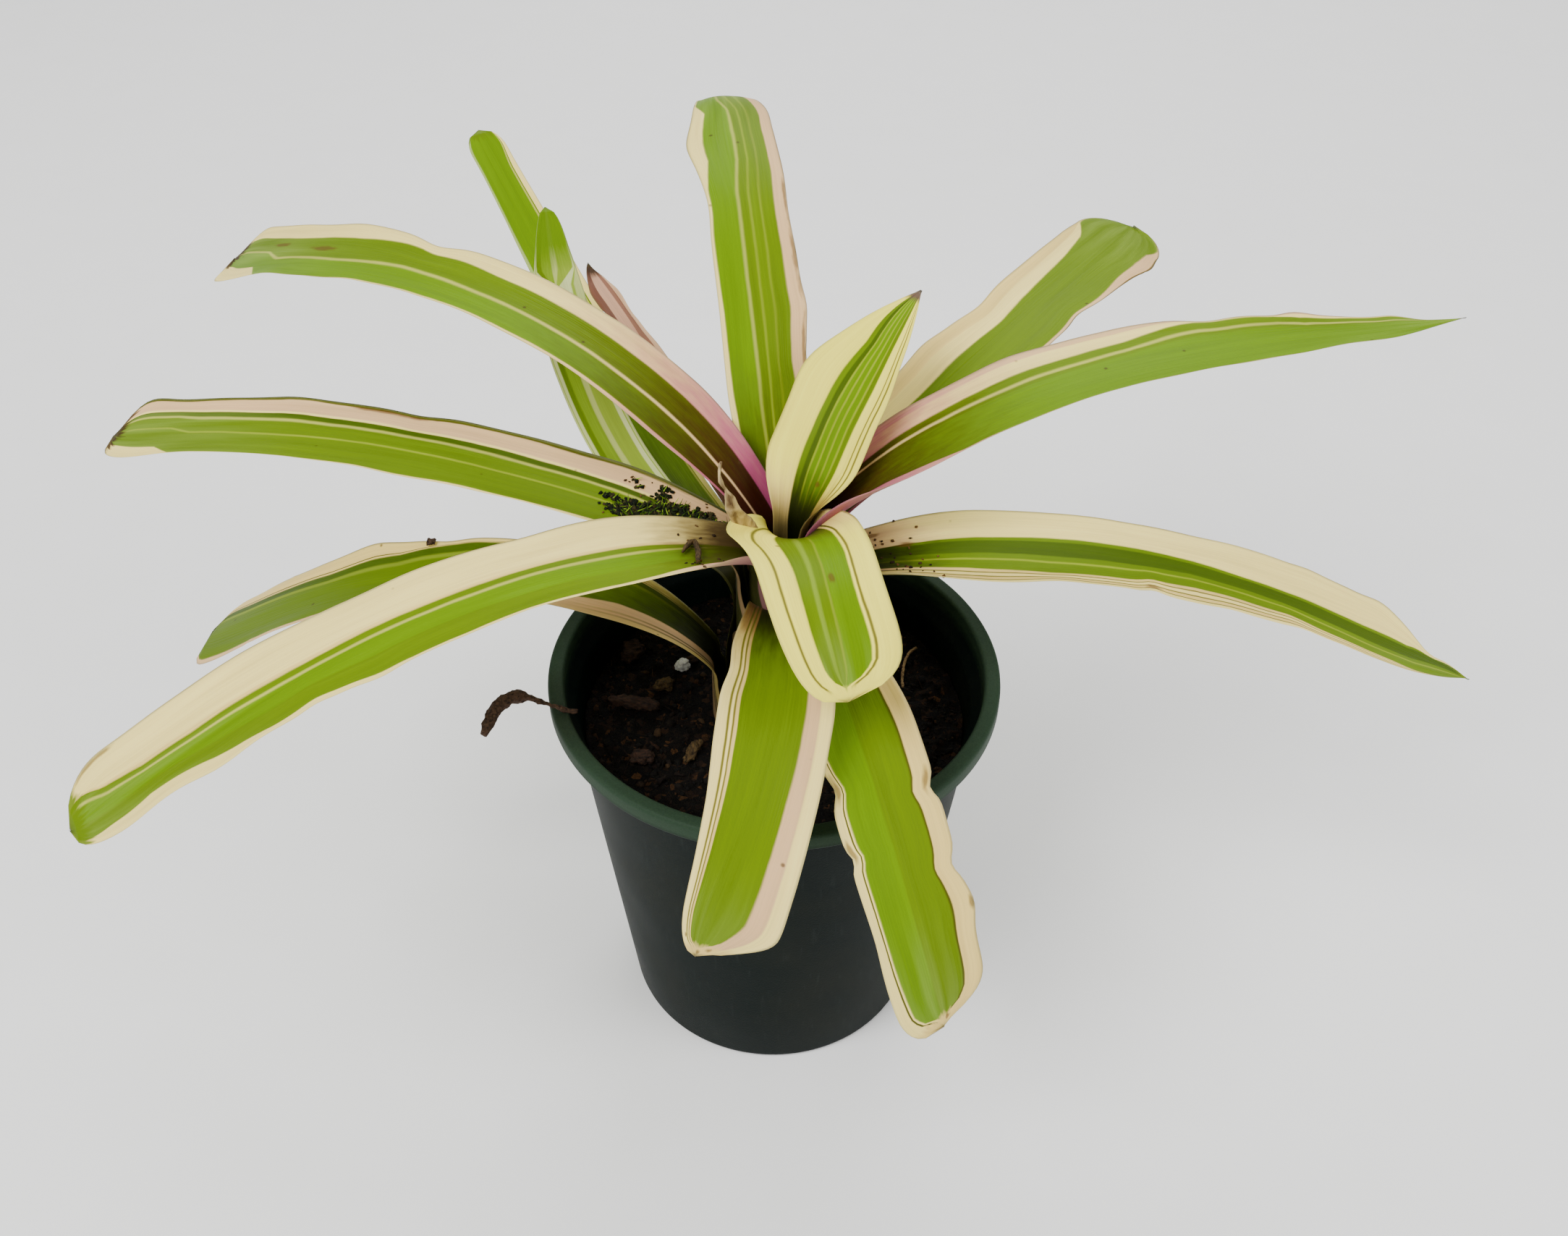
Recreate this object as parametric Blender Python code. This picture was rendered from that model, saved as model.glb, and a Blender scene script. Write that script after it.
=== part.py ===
"""Potted bromeliad: striped strap leaves in a rosette, growing in a plastic nursery pot.

Metres, +Z up.  The pot stands on z = 0 and its axis is the Z axis.  The plant's own axis
stands a little to the +X side of it.  Every leaf is one solid: a sheath wrapped round the
plant's axis, a neck where it bends outwards, and a free blade.  The sheaths are nested
tubes, one radius step apart, so that no two leaves can touch low in the crown.
"""
import math
import random

import bmesh
import bpy
import numpy as np

# ---------------------------------------------------------------- driving sizes (metres)
GAP = 0.0003                 # clearance between pieces that rest on one another

POT_HEIGHT = 0.138
POT_RIM_RADIUS = 0.070       # outside of the lip
POT_BASE_RADIUS = 0.0492     # outside of the foot
POT_WALL = 0.0018
POT_FLOOR = 0.0022
LIP_WIDTH = 0.0050           # radial width of the lip's top face
LIP_HEIGHT = 0.0060
LIP_OVERHANG = 0.0022        # how far the lip stands out from the shoulder below it
SHOULDER_WIDTH = 0.0045      # how far the shoulder stands out from the wall
SHOULDER_HEIGHT = 0.0050
POT_SEGMENTS = 64
DRAIN_HOLES = 6
DRAIN_HOLE_RADIUS = 0.0045
DRAIN_CIRCLE_RADIUS = 0.031

POT_EDGE = 0.0012            # rounding of the lip, the foot and the inner corner

SOIL_DROP = 0.021            # rim top down to the soil's mean level
SOIL_BUMP = 0.0016           # height of the soil's lumps
SOIL_RINGS = 9
SOIL_SEGMENTS = 48

PLANT_X = 0.004              # the plant's axis, beside the pot's axis
PLANT_Y = 0.000
ROOTSTOCK_RADIUS = 0.012     # the part of the rootstock below the soil
ROOTSTOCK_DEPTH = 0.034
OUTER_FOOT = 0.002           # soil level up to the outermost sheath's foot

LEAF_THICKNESS = 0.0007
LEAF_WIDTH = 0.030           # full width of a blade
SHEATH_INNER_RADIUS = 0.0045
SHEATH_CLEARANCE = 0.0006    # free room between one sheath and the next
SHEATH_STEP = LEAF_THICKNESS + SHEATH_CLEARANCE   # radius step from sheath to sheath
SHEATH_FOOT_STEP = 0.0037    # each sheath starts this much lower than the one inside it
NECK_BEND_RADIUS = 0.010
WRAP_LIMIT = math.radians(110)    # how far each side of a sheath reaches round the axis
CHANNEL_RADIUS = 0.055       # cross-section radius of the free blade
UNFURL_LENGTH = 0.050        # blade length over which the sheath's curl opens
WAIST_SHARE = 0.62           # width where the sheath ends, as a share of the blade's
WAIST_WRAP = math.radians(78)     # most that the waist may still reach round the axis
SHEATH_TAPER = 0.016         # sheath length over which it narrows to the waist

TAPER_STATIONS = 5
NECK_STATIONS = 5
BLADE_STATIONS = 13
LEAF_ACROSS = 8

MM = 0.001

# Leaves from the innermost out.  Angles are in degrees and lengths in millimetres.
# azimuth: 0 is +X and 90 is +Y.  sway: how far the blade swings sideways, mid-blade and at
# the tip.  pitch: the slope at the neck, a shaping slope between, and the slope at the tip.
# length: the free blade.  neck: height above the soil at which the sheath ends.
# width: share of LEAF_WIDTH.  twist: turn of the blade about its own midrib at the tip.
LEAVES = [
    dict(name="leaf_heart", azimuth=58, sway=(-5, -7), pitch=(66, 36, 12),
         length=78, neck=73, width=1.00, twist=0, tip="pointed"),
    dict(name="leaf_cup_front", azimuth=284, sway=(-14, 11), pitch=(46, -6, -52),
         length=71, neck=71, width=1.10, twist=0, tip="blunt"),
    dict(name="leaf_right_long", azimuth=18, sway=(-8, 14), pitch=(45, -15, -10),
         length=226, neck=70, width=0.95, twist=0, tip="tapered"),
    dict(name="leaf_upper_left", azimuth=144, sway=(10, -11), pitch=(48, -18, -25),
         length=250, neck=68, width=0.90, twist=-24, tip="blunt"),
    dict(name="leaf_back_right", azimuth=46, sway=(-3, 19), pitch=(24, 12, -14),
         length=178, neck=64, width=1.00, twist=0, tip="blunt"),
    dict(name="leaf_left_long", azimuth=202, sway=(7, 8), pitch=(21, -17, -26),
         length=196, neck=62, width=1.05, twist=0, tip="blunt"),
    dict(name="leaf_back_upright", azimuth=100, sway=(-2, -2), pitch=(62, 37, -35),
         length=197, neck=58, width=0.85, twist=0, tip="blunt"),
    dict(name="leaf_right_low", azimuth=3, sway=(-7, -7), pitch=(12, -19, -29),
         length=197, neck=53, width=1.05, twist=0, tip="pointed"),
    dict(name="leaf_left_mid", azimuth=164, sway=(1, 8), pitch=(15, 1, -13),
         length=198, neck=57, width=1.00, twist=0, tip="blunt"),
    dict(name="leaf_back_dry", azimuth=121, sway=(-2, -3), pitch=(23, 22, 0),
         length=122, neck=52, width=0.40, twist=0, tip="pointed", finish="dry leaf"),
    dict(name="leaf_front_middle", azimuth=267, sway=(4, -70), pitch=(10, -30, -84),
         length=110, neck=53, width=1.10, twist=-66, tip="blunt"),
    dict(name="leaf_front_right", azimuth=291, sway=(-12, 23), pitch=(5, -40, -73),
         length=120, neck=44, width=1.00, twist=0, tip="blunt"),
    dict(name="leaf_back_pale", azimuth=131, sway=(0, -30), pitch=(-10, 43, 66),
         length=142, neck=35, width=0.60, twist=0, tip="pointed", finish="pale leaf"),
    dict(name="leaf_back_left", azimuth=119, sway=(3, 9), pitch=(-5, 36, 37),
         length=197, neck=30, width=0.60, twist=0, tip="blunt"),
    dict(name="leaf_left_low", azimuth=180, sway=(-6, -15), pitch=(54, -33, -34),
         length=186, neck=21, width=0.90, twist=0, tip="blunt"),
]

SOIL_LEVEL = POT_HEIGHT - SOIL_DROP
OUTERMOST = len(LEAVES) - 1


# ---------------------------------------------------------------- small helpers
def clear_scene():
    for old in list(bpy.data.objects):
        bpy.data.objects.remove(old, do_unlink=True)


FINISHES = {                 # linear RGB colour and roughness
    "pot plastic": ((0.012, 0.028, 0.030), 0.55),
    "potting mix": ((0.012, 0.008, 0.006), 0.95),
    "root": ((0.12, 0.07, 0.03), 0.80),
    "striped leaf": ((0.30, 0.42, 0.03), 0.40),
    "pale leaf": ((0.42, 0.50, 0.12), 0.45),
    "dry leaf": ((0.22, 0.13, 0.07), 0.85),
    "bark": ((0.09, 0.045, 0.03), 0.90),
    "dry stalk": ((0.10, 0.05, 0.03), 0.85),
    "perlite": ((0.75, 0.74, 0.70), 0.90),
}


def material(node, finish):
    """A Principled material for one sub-part."""
    colour, roughness = FINISHES[finish]
    mat = bpy.data.materials.new(f"{node} {finish}")
    mat.use_nodes = True
    shader = mat.node_tree.nodes["Principled BSDF"]
    shader.inputs["Base Color"].default_value = (*colour, 1.0)
    shader.inputs["Roughness"].default_value = roughness
    shader.inputs["Metallic"].default_value = 0.0
    mat.diffuse_color = (*colour, 1.0)
    return mat


def add_object(name, bm, finish):
    """Turn a closed bmesh into a named object with outward faces and its own material."""
    bmesh.ops.recalc_face_normals(bm, faces=bm.faces)
    mesh = bpy.data.meshes.new(name)
    bm.to_mesh(mesh)
    bm.free()
    mesh.materials.append(material(name, finish))
    obj = bpy.data.objects.new(name, mesh)
    bpy.context.scene.collection.objects.link(obj)
    return obj


def revolve(profile, segments):
    """Spin a closed (radius, height) outline about the Z axis."""
    bm = bmesh.new()
    verts = [bm.verts.new((r, 0.0, z)) for r, z in profile]
    edges = [bm.edges.new((a, b)) for a, b in zip(verts, verts[1:])]
    if min(profile[0][0], profile[-1][0]) > 0.0:
        edges.append(bm.edges.new((verts[-1], verts[0])))
    bmesh.ops.spin(bm, geom=verts + edges, cent=(0, 0, 0), axis=(0, 0, 1),
                   angle=2 * math.pi, steps=segments)
    bmesh.ops.remove_doubles(bm, verts=bm.verts, dist=1e-6)
    return bm


def grid_solid(top, bottom):
    """Join two equal grids of points into one closed solid."""
    rows, cols = top.shape[:2]
    bm = bmesh.new()
    upper = [[bm.verts.new(p) for p in row] for row in top]
    lower = [[bm.verts.new(p) for p in row] for row in bottom]
    for i in range(rows - 1):
        for j in range(cols - 1):
            bm.faces.new((upper[i][j], upper[i + 1][j], upper[i + 1][j + 1], upper[i][j + 1]))
            bm.faces.new((lower[i][j], lower[i][j + 1], lower[i + 1][j + 1], lower[i + 1][j]))
    rim = [(0, j) for j in range(cols)] + [(i, cols - 1) for i in range(1, rows)]
    rim += [(rows - 1, j) for j in range(cols - 2, -1, -1)] + [(i, 0) for i in range(rows - 2, 0, -1)]
    for (i0, j0), (i1, j1) in zip(rim, rim[1:] + rim[:1]):
        bm.faces.new((upper[i0][j0], upper[i1][j1], lower[i1][j1], lower[i0][j0]))
    return bm


def smooth(x):
    x = np.clip(x, 0.0, 1.0)
    return x * x * (3.0 - 2.0 * x)


# ---------------------------------------------------------------- pot
LIP_LOW = POT_HEIGHT - LIP_HEIGHT
WALL_TOP = LIP_LOW - SHOULDER_HEIGHT


def wall_outer(z):
    """Outside radius of the tapered wall at a height."""
    top = POT_RIM_RADIUS - LIP_OVERHANG - SHOULDER_WIDTH
    return POT_BASE_RADIUS + (top - POT_BASE_RADIUS) * z / WALL_TOP


def wall_inner(z):
    return wall_outer(z) - POT_WALL


def make_pot():
    edge = POT_EDGE
    lip_inside = POT_RIM_RADIUS - LIP_WIDTH
    outline = [
        (0.0, 0.0),
        (POT_BASE_RADIUS - edge, 0.0),
        (wall_outer(edge), edge),
        (wall_outer(WALL_TOP), WALL_TOP),
        (POT_RIM_RADIUS - LIP_OVERHANG, LIP_LOW),
        (POT_RIM_RADIUS - 0.3 * edge, LIP_LOW),
        (POT_RIM_RADIUS, LIP_LOW + 0.3 * edge),
        (POT_RIM_RADIUS, POT_HEIGHT - edge),
        (POT_RIM_RADIUS - edge, POT_HEIGHT),
        (lip_inside + edge, POT_HEIGHT),
        (lip_inside, POT_HEIGHT - edge),
        (lip_inside, LIP_LOW),
        (wall_inner(WALL_TOP), WALL_TOP),
        (wall_inner(POT_FLOOR + edge), POT_FLOOR + edge),
        (wall_inner(POT_FLOOR) - edge, POT_FLOOR),
        (0.0, POT_FLOOR),
    ]
    pot = add_object("pot", revolve(outline, POT_SEGMENTS), "pot plastic")
    for k in range(DRAIN_HOLES):
        turn = 2 * math.pi * k / DRAIN_HOLES
        bpy.ops.mesh.primitive_cylinder_add(
            vertices=20, radius=DRAIN_HOLE_RADIUS, depth=6 * POT_FLOOR,
            location=(DRAIN_CIRCLE_RADIUS * math.cos(turn), DRAIN_CIRCLE_RADIUS * math.sin(turn), 0))
        cutter = bpy.context.object
        cutter.name = f"drain_cutter_{k + 1}"
        cutter.hide_render = True
        cutter.display_type = "WIRE"
        cut = pot.modifiers.new(cutter.name, "BOOLEAN")
        cut.object = cutter
        cut.operation = "DIFFERENCE"
        cut.solver = "EXACT"
    return pot


# ---------------------------------------------------------------- soil and rootstock
def sheath_radius(order):
    """Inner radius of a leaf's sheath, counted from the innermost leaf."""
    return SHEATH_INNER_RADIUS + SHEATH_STEP * order


def sheath_foot(order):
    """Height of a sheath's lower end."""
    return SOIL_LEVEL + OUTER_FOOT + SHEATH_FOOT_STEP * (OUTERMOST - order)


def soil_height(x, y):
    """Level under the plant, lumpy elsewhere."""
    lumps = (math.sin(310 * x + 1.1) * math.cos(270 * y - 0.4)
             + 0.6 * math.sin(620 * x - 540 * y + 0.7) + 0.4 * math.cos(900 * y + 350 * x))
    clear = sheath_radius(OUTERMOST) + 4 * LEAF_THICKNESS
    away = math.hypot(x - PLANT_X, y - PLANT_Y) - clear
    return SOIL_LEVEL + SOIL_BUMP * 0.5 * lumps * float(smooth(away / 0.008))


def ring(centre_x, centre_y, radius, z, segments):
    """Points of a level circle; z is a number or a function of x and y."""
    points = []
    for k in range(segments):
        turn = 2 * math.pi * k / segments
        x = centre_x + radius * math.cos(turn)
        y = centre_y + radius * math.sin(turn)
        points.append((x, y, z(x, y) if callable(z) else z))
    return points


def loft(rings):
    """Skin a stack of equal rings and close both ends."""
    bm = bmesh.new()
    loops = [[bm.verts.new(p) for p in points] for points in rings]
    for low, high in zip(loops, loops[1:]):
        for k in range(len(low)):
            n = (k + 1) % len(low)
            bm.faces.new((low[k], low[n], high[n], high[k]))
    bm.faces.new(loops[0])
    bm.faces.new(loops[-1])
    return bm


def make_soil():
    """Fills the pot; a socket at the plant's axis holds the rootstock."""
    socket = ROOTSTOCK_RADIUS + GAP
    socket_floor = SOIL_LEVEL - ROOTSTOCK_DEPTH - GAP
    top_radius = wall_inner(SOIL_LEVEL - SOIL_BUMP) - GAP
    rings = [ring(PLANT_X, PLANT_Y, 0.6 * socket, socket_floor, SOIL_SEGMENTS),
             ring(PLANT_X, PLANT_Y, socket, socket_floor + 0.5 * socket, SOIL_SEGMENTS)]
    for k in range(SOIL_RINGS + 1):
        share = k / SOIL_RINGS
        rings.append(ring(PLANT_X * (1 - share), PLANT_Y * (1 - share),
                          socket + (top_radius - socket) * share, soil_height, SOIL_SEGMENTS))
    corner = POT_FLOOR + 2 * POT_EDGE
    rings.append(ring(0, 0, wall_inner(corner) - GAP, corner, SOIL_SEGMENTS))
    rings.append(ring(0, 0, wall_inner(POT_FLOOR) - 2 * POT_EDGE, POT_FLOOR + GAP, SOIL_SEGMENTS))
    return add_object("potting_soil", loft(rings), "potting mix")


def make_rootstock():
    """Short cone that the sheaths grow round, on a plug that stands in the soil."""
    sides = 24
    reach = SHEATH_STEP / SHEATH_FOOT_STEP            # cone radius gained per height lost
    tip = sheath_foot(0)
    base = SOIL_LEVEL + GAP
    plug = SOIL_LEVEL - ROOTSTOCK_DEPTH
    slim = SHEATH_INNER_RADIUS - 2 * GAP
    wide = slim + reach * (tip - base) - SHEATH_STEP
    rings = [ring(PLANT_X, PLANT_Y, 0.5 * ROOTSTOCK_RADIUS, plug, sides),
             ring(PLANT_X, PLANT_Y, ROOTSTOCK_RADIUS, plug + 0.7 * ROOTSTOCK_RADIUS, sides),
             ring(PLANT_X, PLANT_Y, ROOTSTOCK_RADIUS, base, sides),
             ring(PLANT_X, PLANT_Y, wide, base, sides),
             ring(PLANT_X, PLANT_Y, wide - reach * OUTER_FOOT, base + OUTER_FOOT, sides),
             ring(PLANT_X, PLANT_Y, slim, tip, sides),
             ring(PLANT_X, PLANT_Y, 0.4 * slim, tip + 0.5 * slim, sides)]
    return add_object("rootstock", loft(rings), "root")


# ---------------------------------------------------------------- leaves
def leaf_stations(leaf, order):
    """Arc lengths along the midrib, with the sheath's and the neck's own lengths."""
    sheath = SOIL_LEVEL + leaf["neck"] * MM - sheath_foot(order)
    neck = NECK_BEND_RADIUS * math.radians(90 - leaf["pitch"][0])
    blade = leaf["length"] * MM
    taper = min(SHEATH_TAPER, 0.7 * sheath)
    even = np.linspace(0.0, 1.0, BLADE_STATIONS - 2)
    along = np.concatenate([even[:-1], [0.5 * (even[-2] + even[-1]), 0.985, 1.0]])
    stations = np.concatenate([[0.0],
                               sheath - taper * np.linspace(1, 0, TAPER_STATIONS)[:-1],
                               sheath + np.linspace(0, neck, NECK_STATIONS)[:-1],
                               sheath + neck + blade * along])
    return stations, sheath, neck, blade


def leaf_midrib(leaf, order, stations, sheath, neck, blade):
    """Midrib points with their pitch and heading, by walking along the leaf."""
    def angles(s):
        t = np.clip((s - sheath - neck) / blade, 0, 1)
        first, shape, last = leaf["pitch"]
        free = (1 - t) ** 2 * first + 2 * t * (1 - t) * shape + t * t * last
        bend = smooth((s - sheath) / neck)
        pitch = np.where(s < sheath + neck, 90 + (first - 90) * bend, free)
        heading = leaf["azimuth"] + 2 * t * (1 - t) * leaf["sway"][0] + t * t * leaf["sway"][1]
        return np.radians(pitch), np.radians(heading)

    fine = np.linspace(0, stations[-1], 1500)
    pitch, heading = angles(0.5 * (fine[1:] + fine[:-1]))
    step = np.stack([np.cos(pitch) * np.cos(heading), np.cos(pitch) * np.sin(heading),
                     np.sin(pitch)], axis=1) * (fine[1] - fine[0])
    start = math.radians(leaf["azimuth"])
    radius = sheath_radius(order)
    foot = np.array([PLANT_X + radius * math.cos(start), PLANT_Y + radius * math.sin(start),
                     sheath_foot(order)])
    path = np.vstack([foot, foot + np.cumsum(step, axis=0)])
    points = np.stack([np.interp(stations, fine, path[:, k]) for k in range(3)], axis=1)
    return points, *angles(stations)


def leaf_half_width(leaf, order, t, from_neck):
    """Half width along the leaf, from its distance past the end of the sheath."""
    full = 0.5 * LEAF_WIDTH * leaf["width"]
    round_end = 1.1 * full / (leaf["length"] * MM)
    if leaf["tip"] == "blunt":
        end = np.sqrt(np.clip(1 - np.clip((t - 1 + round_end) / round_end, 0, 1) ** 2, 0.03, 1))
    elif leaf["tip"] == "pointed":
        long_end = 2.6 * round_end
        end = np.clip(1 - np.clip((t - 1 + long_end) / long_end, 0, 1) ** 1.6, 0.06, 1)
    else:
        end = np.clip(1 - np.clip((t - 0.45) / 0.55, 0, 1) ** 1.5, 0.04, 1)
    radius = sheath_radius(order)
    waist = min(WAIST_SHARE * full, WAIST_WRAP * radius)
    wrapped = min(1.3 * full, WRAP_LIMIT * radius)
    half = waist + (full - waist) * smooth(from_neck / UNFURL_LENGTH)
    half = half + (wrapped - waist) * smooth(-from_neck / SHEATH_TAPER)
    return half * end


def leaf_sheets(leaf, order, across, depths, span=None):
    """Grids of points on the leaf, one for each depth below its upper (inner) face.

    across runs from -1 to 1 over the width.  span=(first, last, count) samples a stretch of
    the free blade instead of the whole leaf.
    """
    stations, sheath, neck, blade = leaf_stations(leaf, order)
    if span:
        stations = sheath + neck + blade * np.linspace(*span)
    points, pitch, heading = leaf_midrib(leaf, order, stations, sheath, neck, blade)
    t = np.clip((stations - sheath - neck) / blade, 0, 1)
    opened = smooth((stations - sheath) / (neck + UNFURL_LENGTH))
    half = leaf_half_width(leaf, order, t, stations - sheath)
    radius = sheath_radius(order) * (CHANNEL_RADIUS / sheath_radius(order)) ** opened
    side = np.stack([-np.sin(heading), np.cos(heading), 0 * heading], axis=1)
    up = np.stack([-np.sin(pitch) * np.cos(heading), -np.sin(pitch) * np.sin(heading),
                   np.cos(pitch)], axis=1)
    turn = np.radians(leaf["twist"]) * t * t
    side, up = (side * np.cos(turn)[:, None] + up * np.sin(turn)[:, None],
                up * np.cos(turn)[:, None] - side * np.sin(turn)[:, None])
    curl = (half / radius)[:, None] * np.asarray(across)[None, :]
    sheets = []
    for depth in depths:
        out = radius[:, None] + depth
        lift = radius[:, None] - out * np.cos(curl)
        sheets.append(points[:, None, :] + (out * np.sin(curl))[..., None] * side[:, None, :]
                     + lift[..., None] * up[:, None, :])
    return sheets


def make_leaf(leaf, order):
    across = np.linspace(-1, 1, LEAF_ACROSS + 1)
    upper, lower = leaf_sheets(leaf, order, across, (0.0, LEAF_THICKNESS))
    obj = add_object(leaf["name"], grid_solid(upper, lower),
                     leaf.get("finish", "striped leaf"))
    obj.data.shade_smooth()
    return obj


# ---------------------------------------------------------------- small dry pieces
def tube(points, radii, sides):
    """Loft a closed tube of varying radius along a list of points."""
    points = [np.array(p, float) for p in points]
    rings = []
    for k, centre in enumerate(points):
        run = points[min(k + 1, len(points) - 1)] - points[max(k - 1, 0)]
        run = run / np.linalg.norm(run)
        side = np.cross(run, (0.0, 0.0, 1.0))
        side = side / np.linalg.norm(side)
        up = np.cross(side, run)
        turns = [2 * math.pi * j / sides for j in range(sides)]
        rings.append([tuple(centre + radii[k] * (math.cos(a) * side + math.sin(a) * up))
                      for a in turns])
    return loft(rings)


def on_soil(angle, share):
    """A place inside the pot: direction in degrees and share of the soil's radius."""
    reach = share * (wall_inner(SOIL_LEVEL) - GAP)
    return reach * math.cos(math.radians(angle)), reach * math.sin(math.radians(angle))


def soil_top_under(x, y, spread):
    """Highest soil within a distance of a point."""
    near = [(x + spread * i / 4, y + spread * j / 4) for i in range(-4, 5) for j in range(-4, 5)]
    return max(soil_height(px, py) for px, py in near)


def make_flake(name, angle, share, length, width, thick, turn, seed, finish="bark"):
    """A broken chip lying flat on the soil: an irregular prism with a domed top."""
    dice = random.Random(seed)
    x, y = on_soil(angle, share)
    low = soil_top_under(x, y, 0.5 * max(length, width)) + GAP
    turn = math.radians(turn)
    sides = 9
    outline = []
    for k in range(sides):
        a = 2 * math.pi * k / sides
        reach = 1 + dice.uniform(-0.22, 0.12)
        u = 0.5 * length * math.cos(a) * reach
        v = 0.5 * width * math.sin(a) * reach
        outline.append((u * math.cos(turn) - v * math.sin(turn),
                        u * math.sin(turn) + v * math.cos(turn)))
    rings = [[(x + s * u, y + s * v, low + h * thick) for u, v in outline]
             for s, h in ((0.9, 0.0), (1.0, 0.45), (0.72, 1.0))]
    return add_object(name, loft(rings), finish)


def make_clump(name, leaf_name, span, side, height, seed, finish):
    """Loose litter lying on a leaf: a lumpy patch that follows the leaf's upper face.

    span and side are the stretch along the blade and the stretch across it.
    """
    dice = random.Random(seed)
    order = next(k for k, leaf in enumerate(LEAVES) if leaf["name"] == leaf_name)
    rows, cols = 6, 5
    across = np.linspace(*side, cols)
    lumps = np.array([[dice.uniform(0.45, 1.0) for _ in range(cols)] for _ in range(rows)])
    lumps[[0, -1], :] *= 0.3
    lumps[:, [0, -1]] *= 0.3
    lift = 2 * GAP
    bed, full = leaf_sheets(LEAVES[order], order, across, (-lift, -lift - height), (*span, rows))
    top = bed + (full - bed) * lumps[..., None]
    return add_object(name, grid_solid(top, bed), finish)


def make_stub(name, leaf_name, stops, radii):
    """A dry stalk lying on a leaf's upper face.  stops: (share along the blade, across)."""
    order = next(k for k, leaf in enumerate(LEAVES) if leaf["name"] == leaf_name)
    points = []
    for (along, aside), radius in zip(stops, radii):
        rest = leaf_sheets(LEAVES[order], order, [aside], (-radius - 2 * GAP,), (along, 1.0, 2))
        points.append(rest[0][0, 0])
    return add_object(name, tube(points, radii, 8), "dry stalk")


def make_ribbon(name, points, widths, turns, thick):
    """A thin dry strip along a list of points, turned about its own length."""
    points = np.array(points, float)
    run = np.gradient(points, axis=0)
    run /= np.linalg.norm(run, axis=1)[:, None]
    level = np.cross(run, (0.35, -0.94, 0.0))
    level /= np.linalg.norm(level, axis=1)[:, None]
    front = np.cross(level, run)
    turns = np.radians(turns)[:, None]
    side = level * np.cos(turns) + front * np.sin(turns)
    face = front * np.cos(turns) - level * np.sin(turns)
    across = np.array([-0.5, 0.0, 0.5])
    flat = points[:, None, :] + (np.array(widths)[:, None] * across)[..., None] * side[:, None, :]
    offset = 0.5 * thick * face[:, None, :]
    return add_object(name, grid_solid(flat + offset, flat - offset), "dry leaf")


def make_twig():
    """A dry twig lying over the lip, thin inside the pot and thick where it hangs out."""
    thin, thick = 0.0007, 0.0024
    over = POT_HEIGHT + GAP + thin
    lip = POT_RIM_RADIUS
    stops = [(lip - 0.0075, over + 0.0002, thin), (lip - 0.0025, over + 0.0004, thin),
             (lip + 0.002, over + 0.0014, thin), (lip + 0.006, over + 0.0028, 0.0011),
             (lip + 0.0085, over + 0.0030, thick), (lip + 0.013, over + 0.0036, 0.0021),
             (lip + 0.017, over + 0.0030, thick), (lip + 0.0215, over + 0.0018, 0.0011)]
    heading = math.radians(199)
    bow = [0.002, -0.001, -0.004, -0.0065, -0.0075, -0.006, -0.003, 0.0045]
    points = []
    for (reach, z, _), aside in zip(stops, bow):
        points.append((reach * math.cos(heading) + aside * -math.sin(heading),
                       reach * math.sin(heading) + aside * math.cos(heading), z))
    return add_object("dry_twig", tube(points, [r for _, _, r in stops], 8),
                      "dry stalk")


def make_root_strand(name, start, end, arch):
    """A thin dry root resting on the soil between two places."""
    radius = 0.0005
    x0, y0 = on_soil(*start)
    x1, y1 = on_soil(*end)
    points = []
    for k in range(9):
        t = k / 8
        x = x0 + (x1 - x0) * t + arch * math.sin(math.pi * t)
        y = y0 + (y1 - y0) * t - arch * math.sin(2 * math.pi * t) * 0.5
        points.append((x, y, soil_top_under(x, y, 0.002) + GAP + radius))
    return add_object(name, tube(points, [radius] * len(points), 6), "dry stalk")


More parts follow.
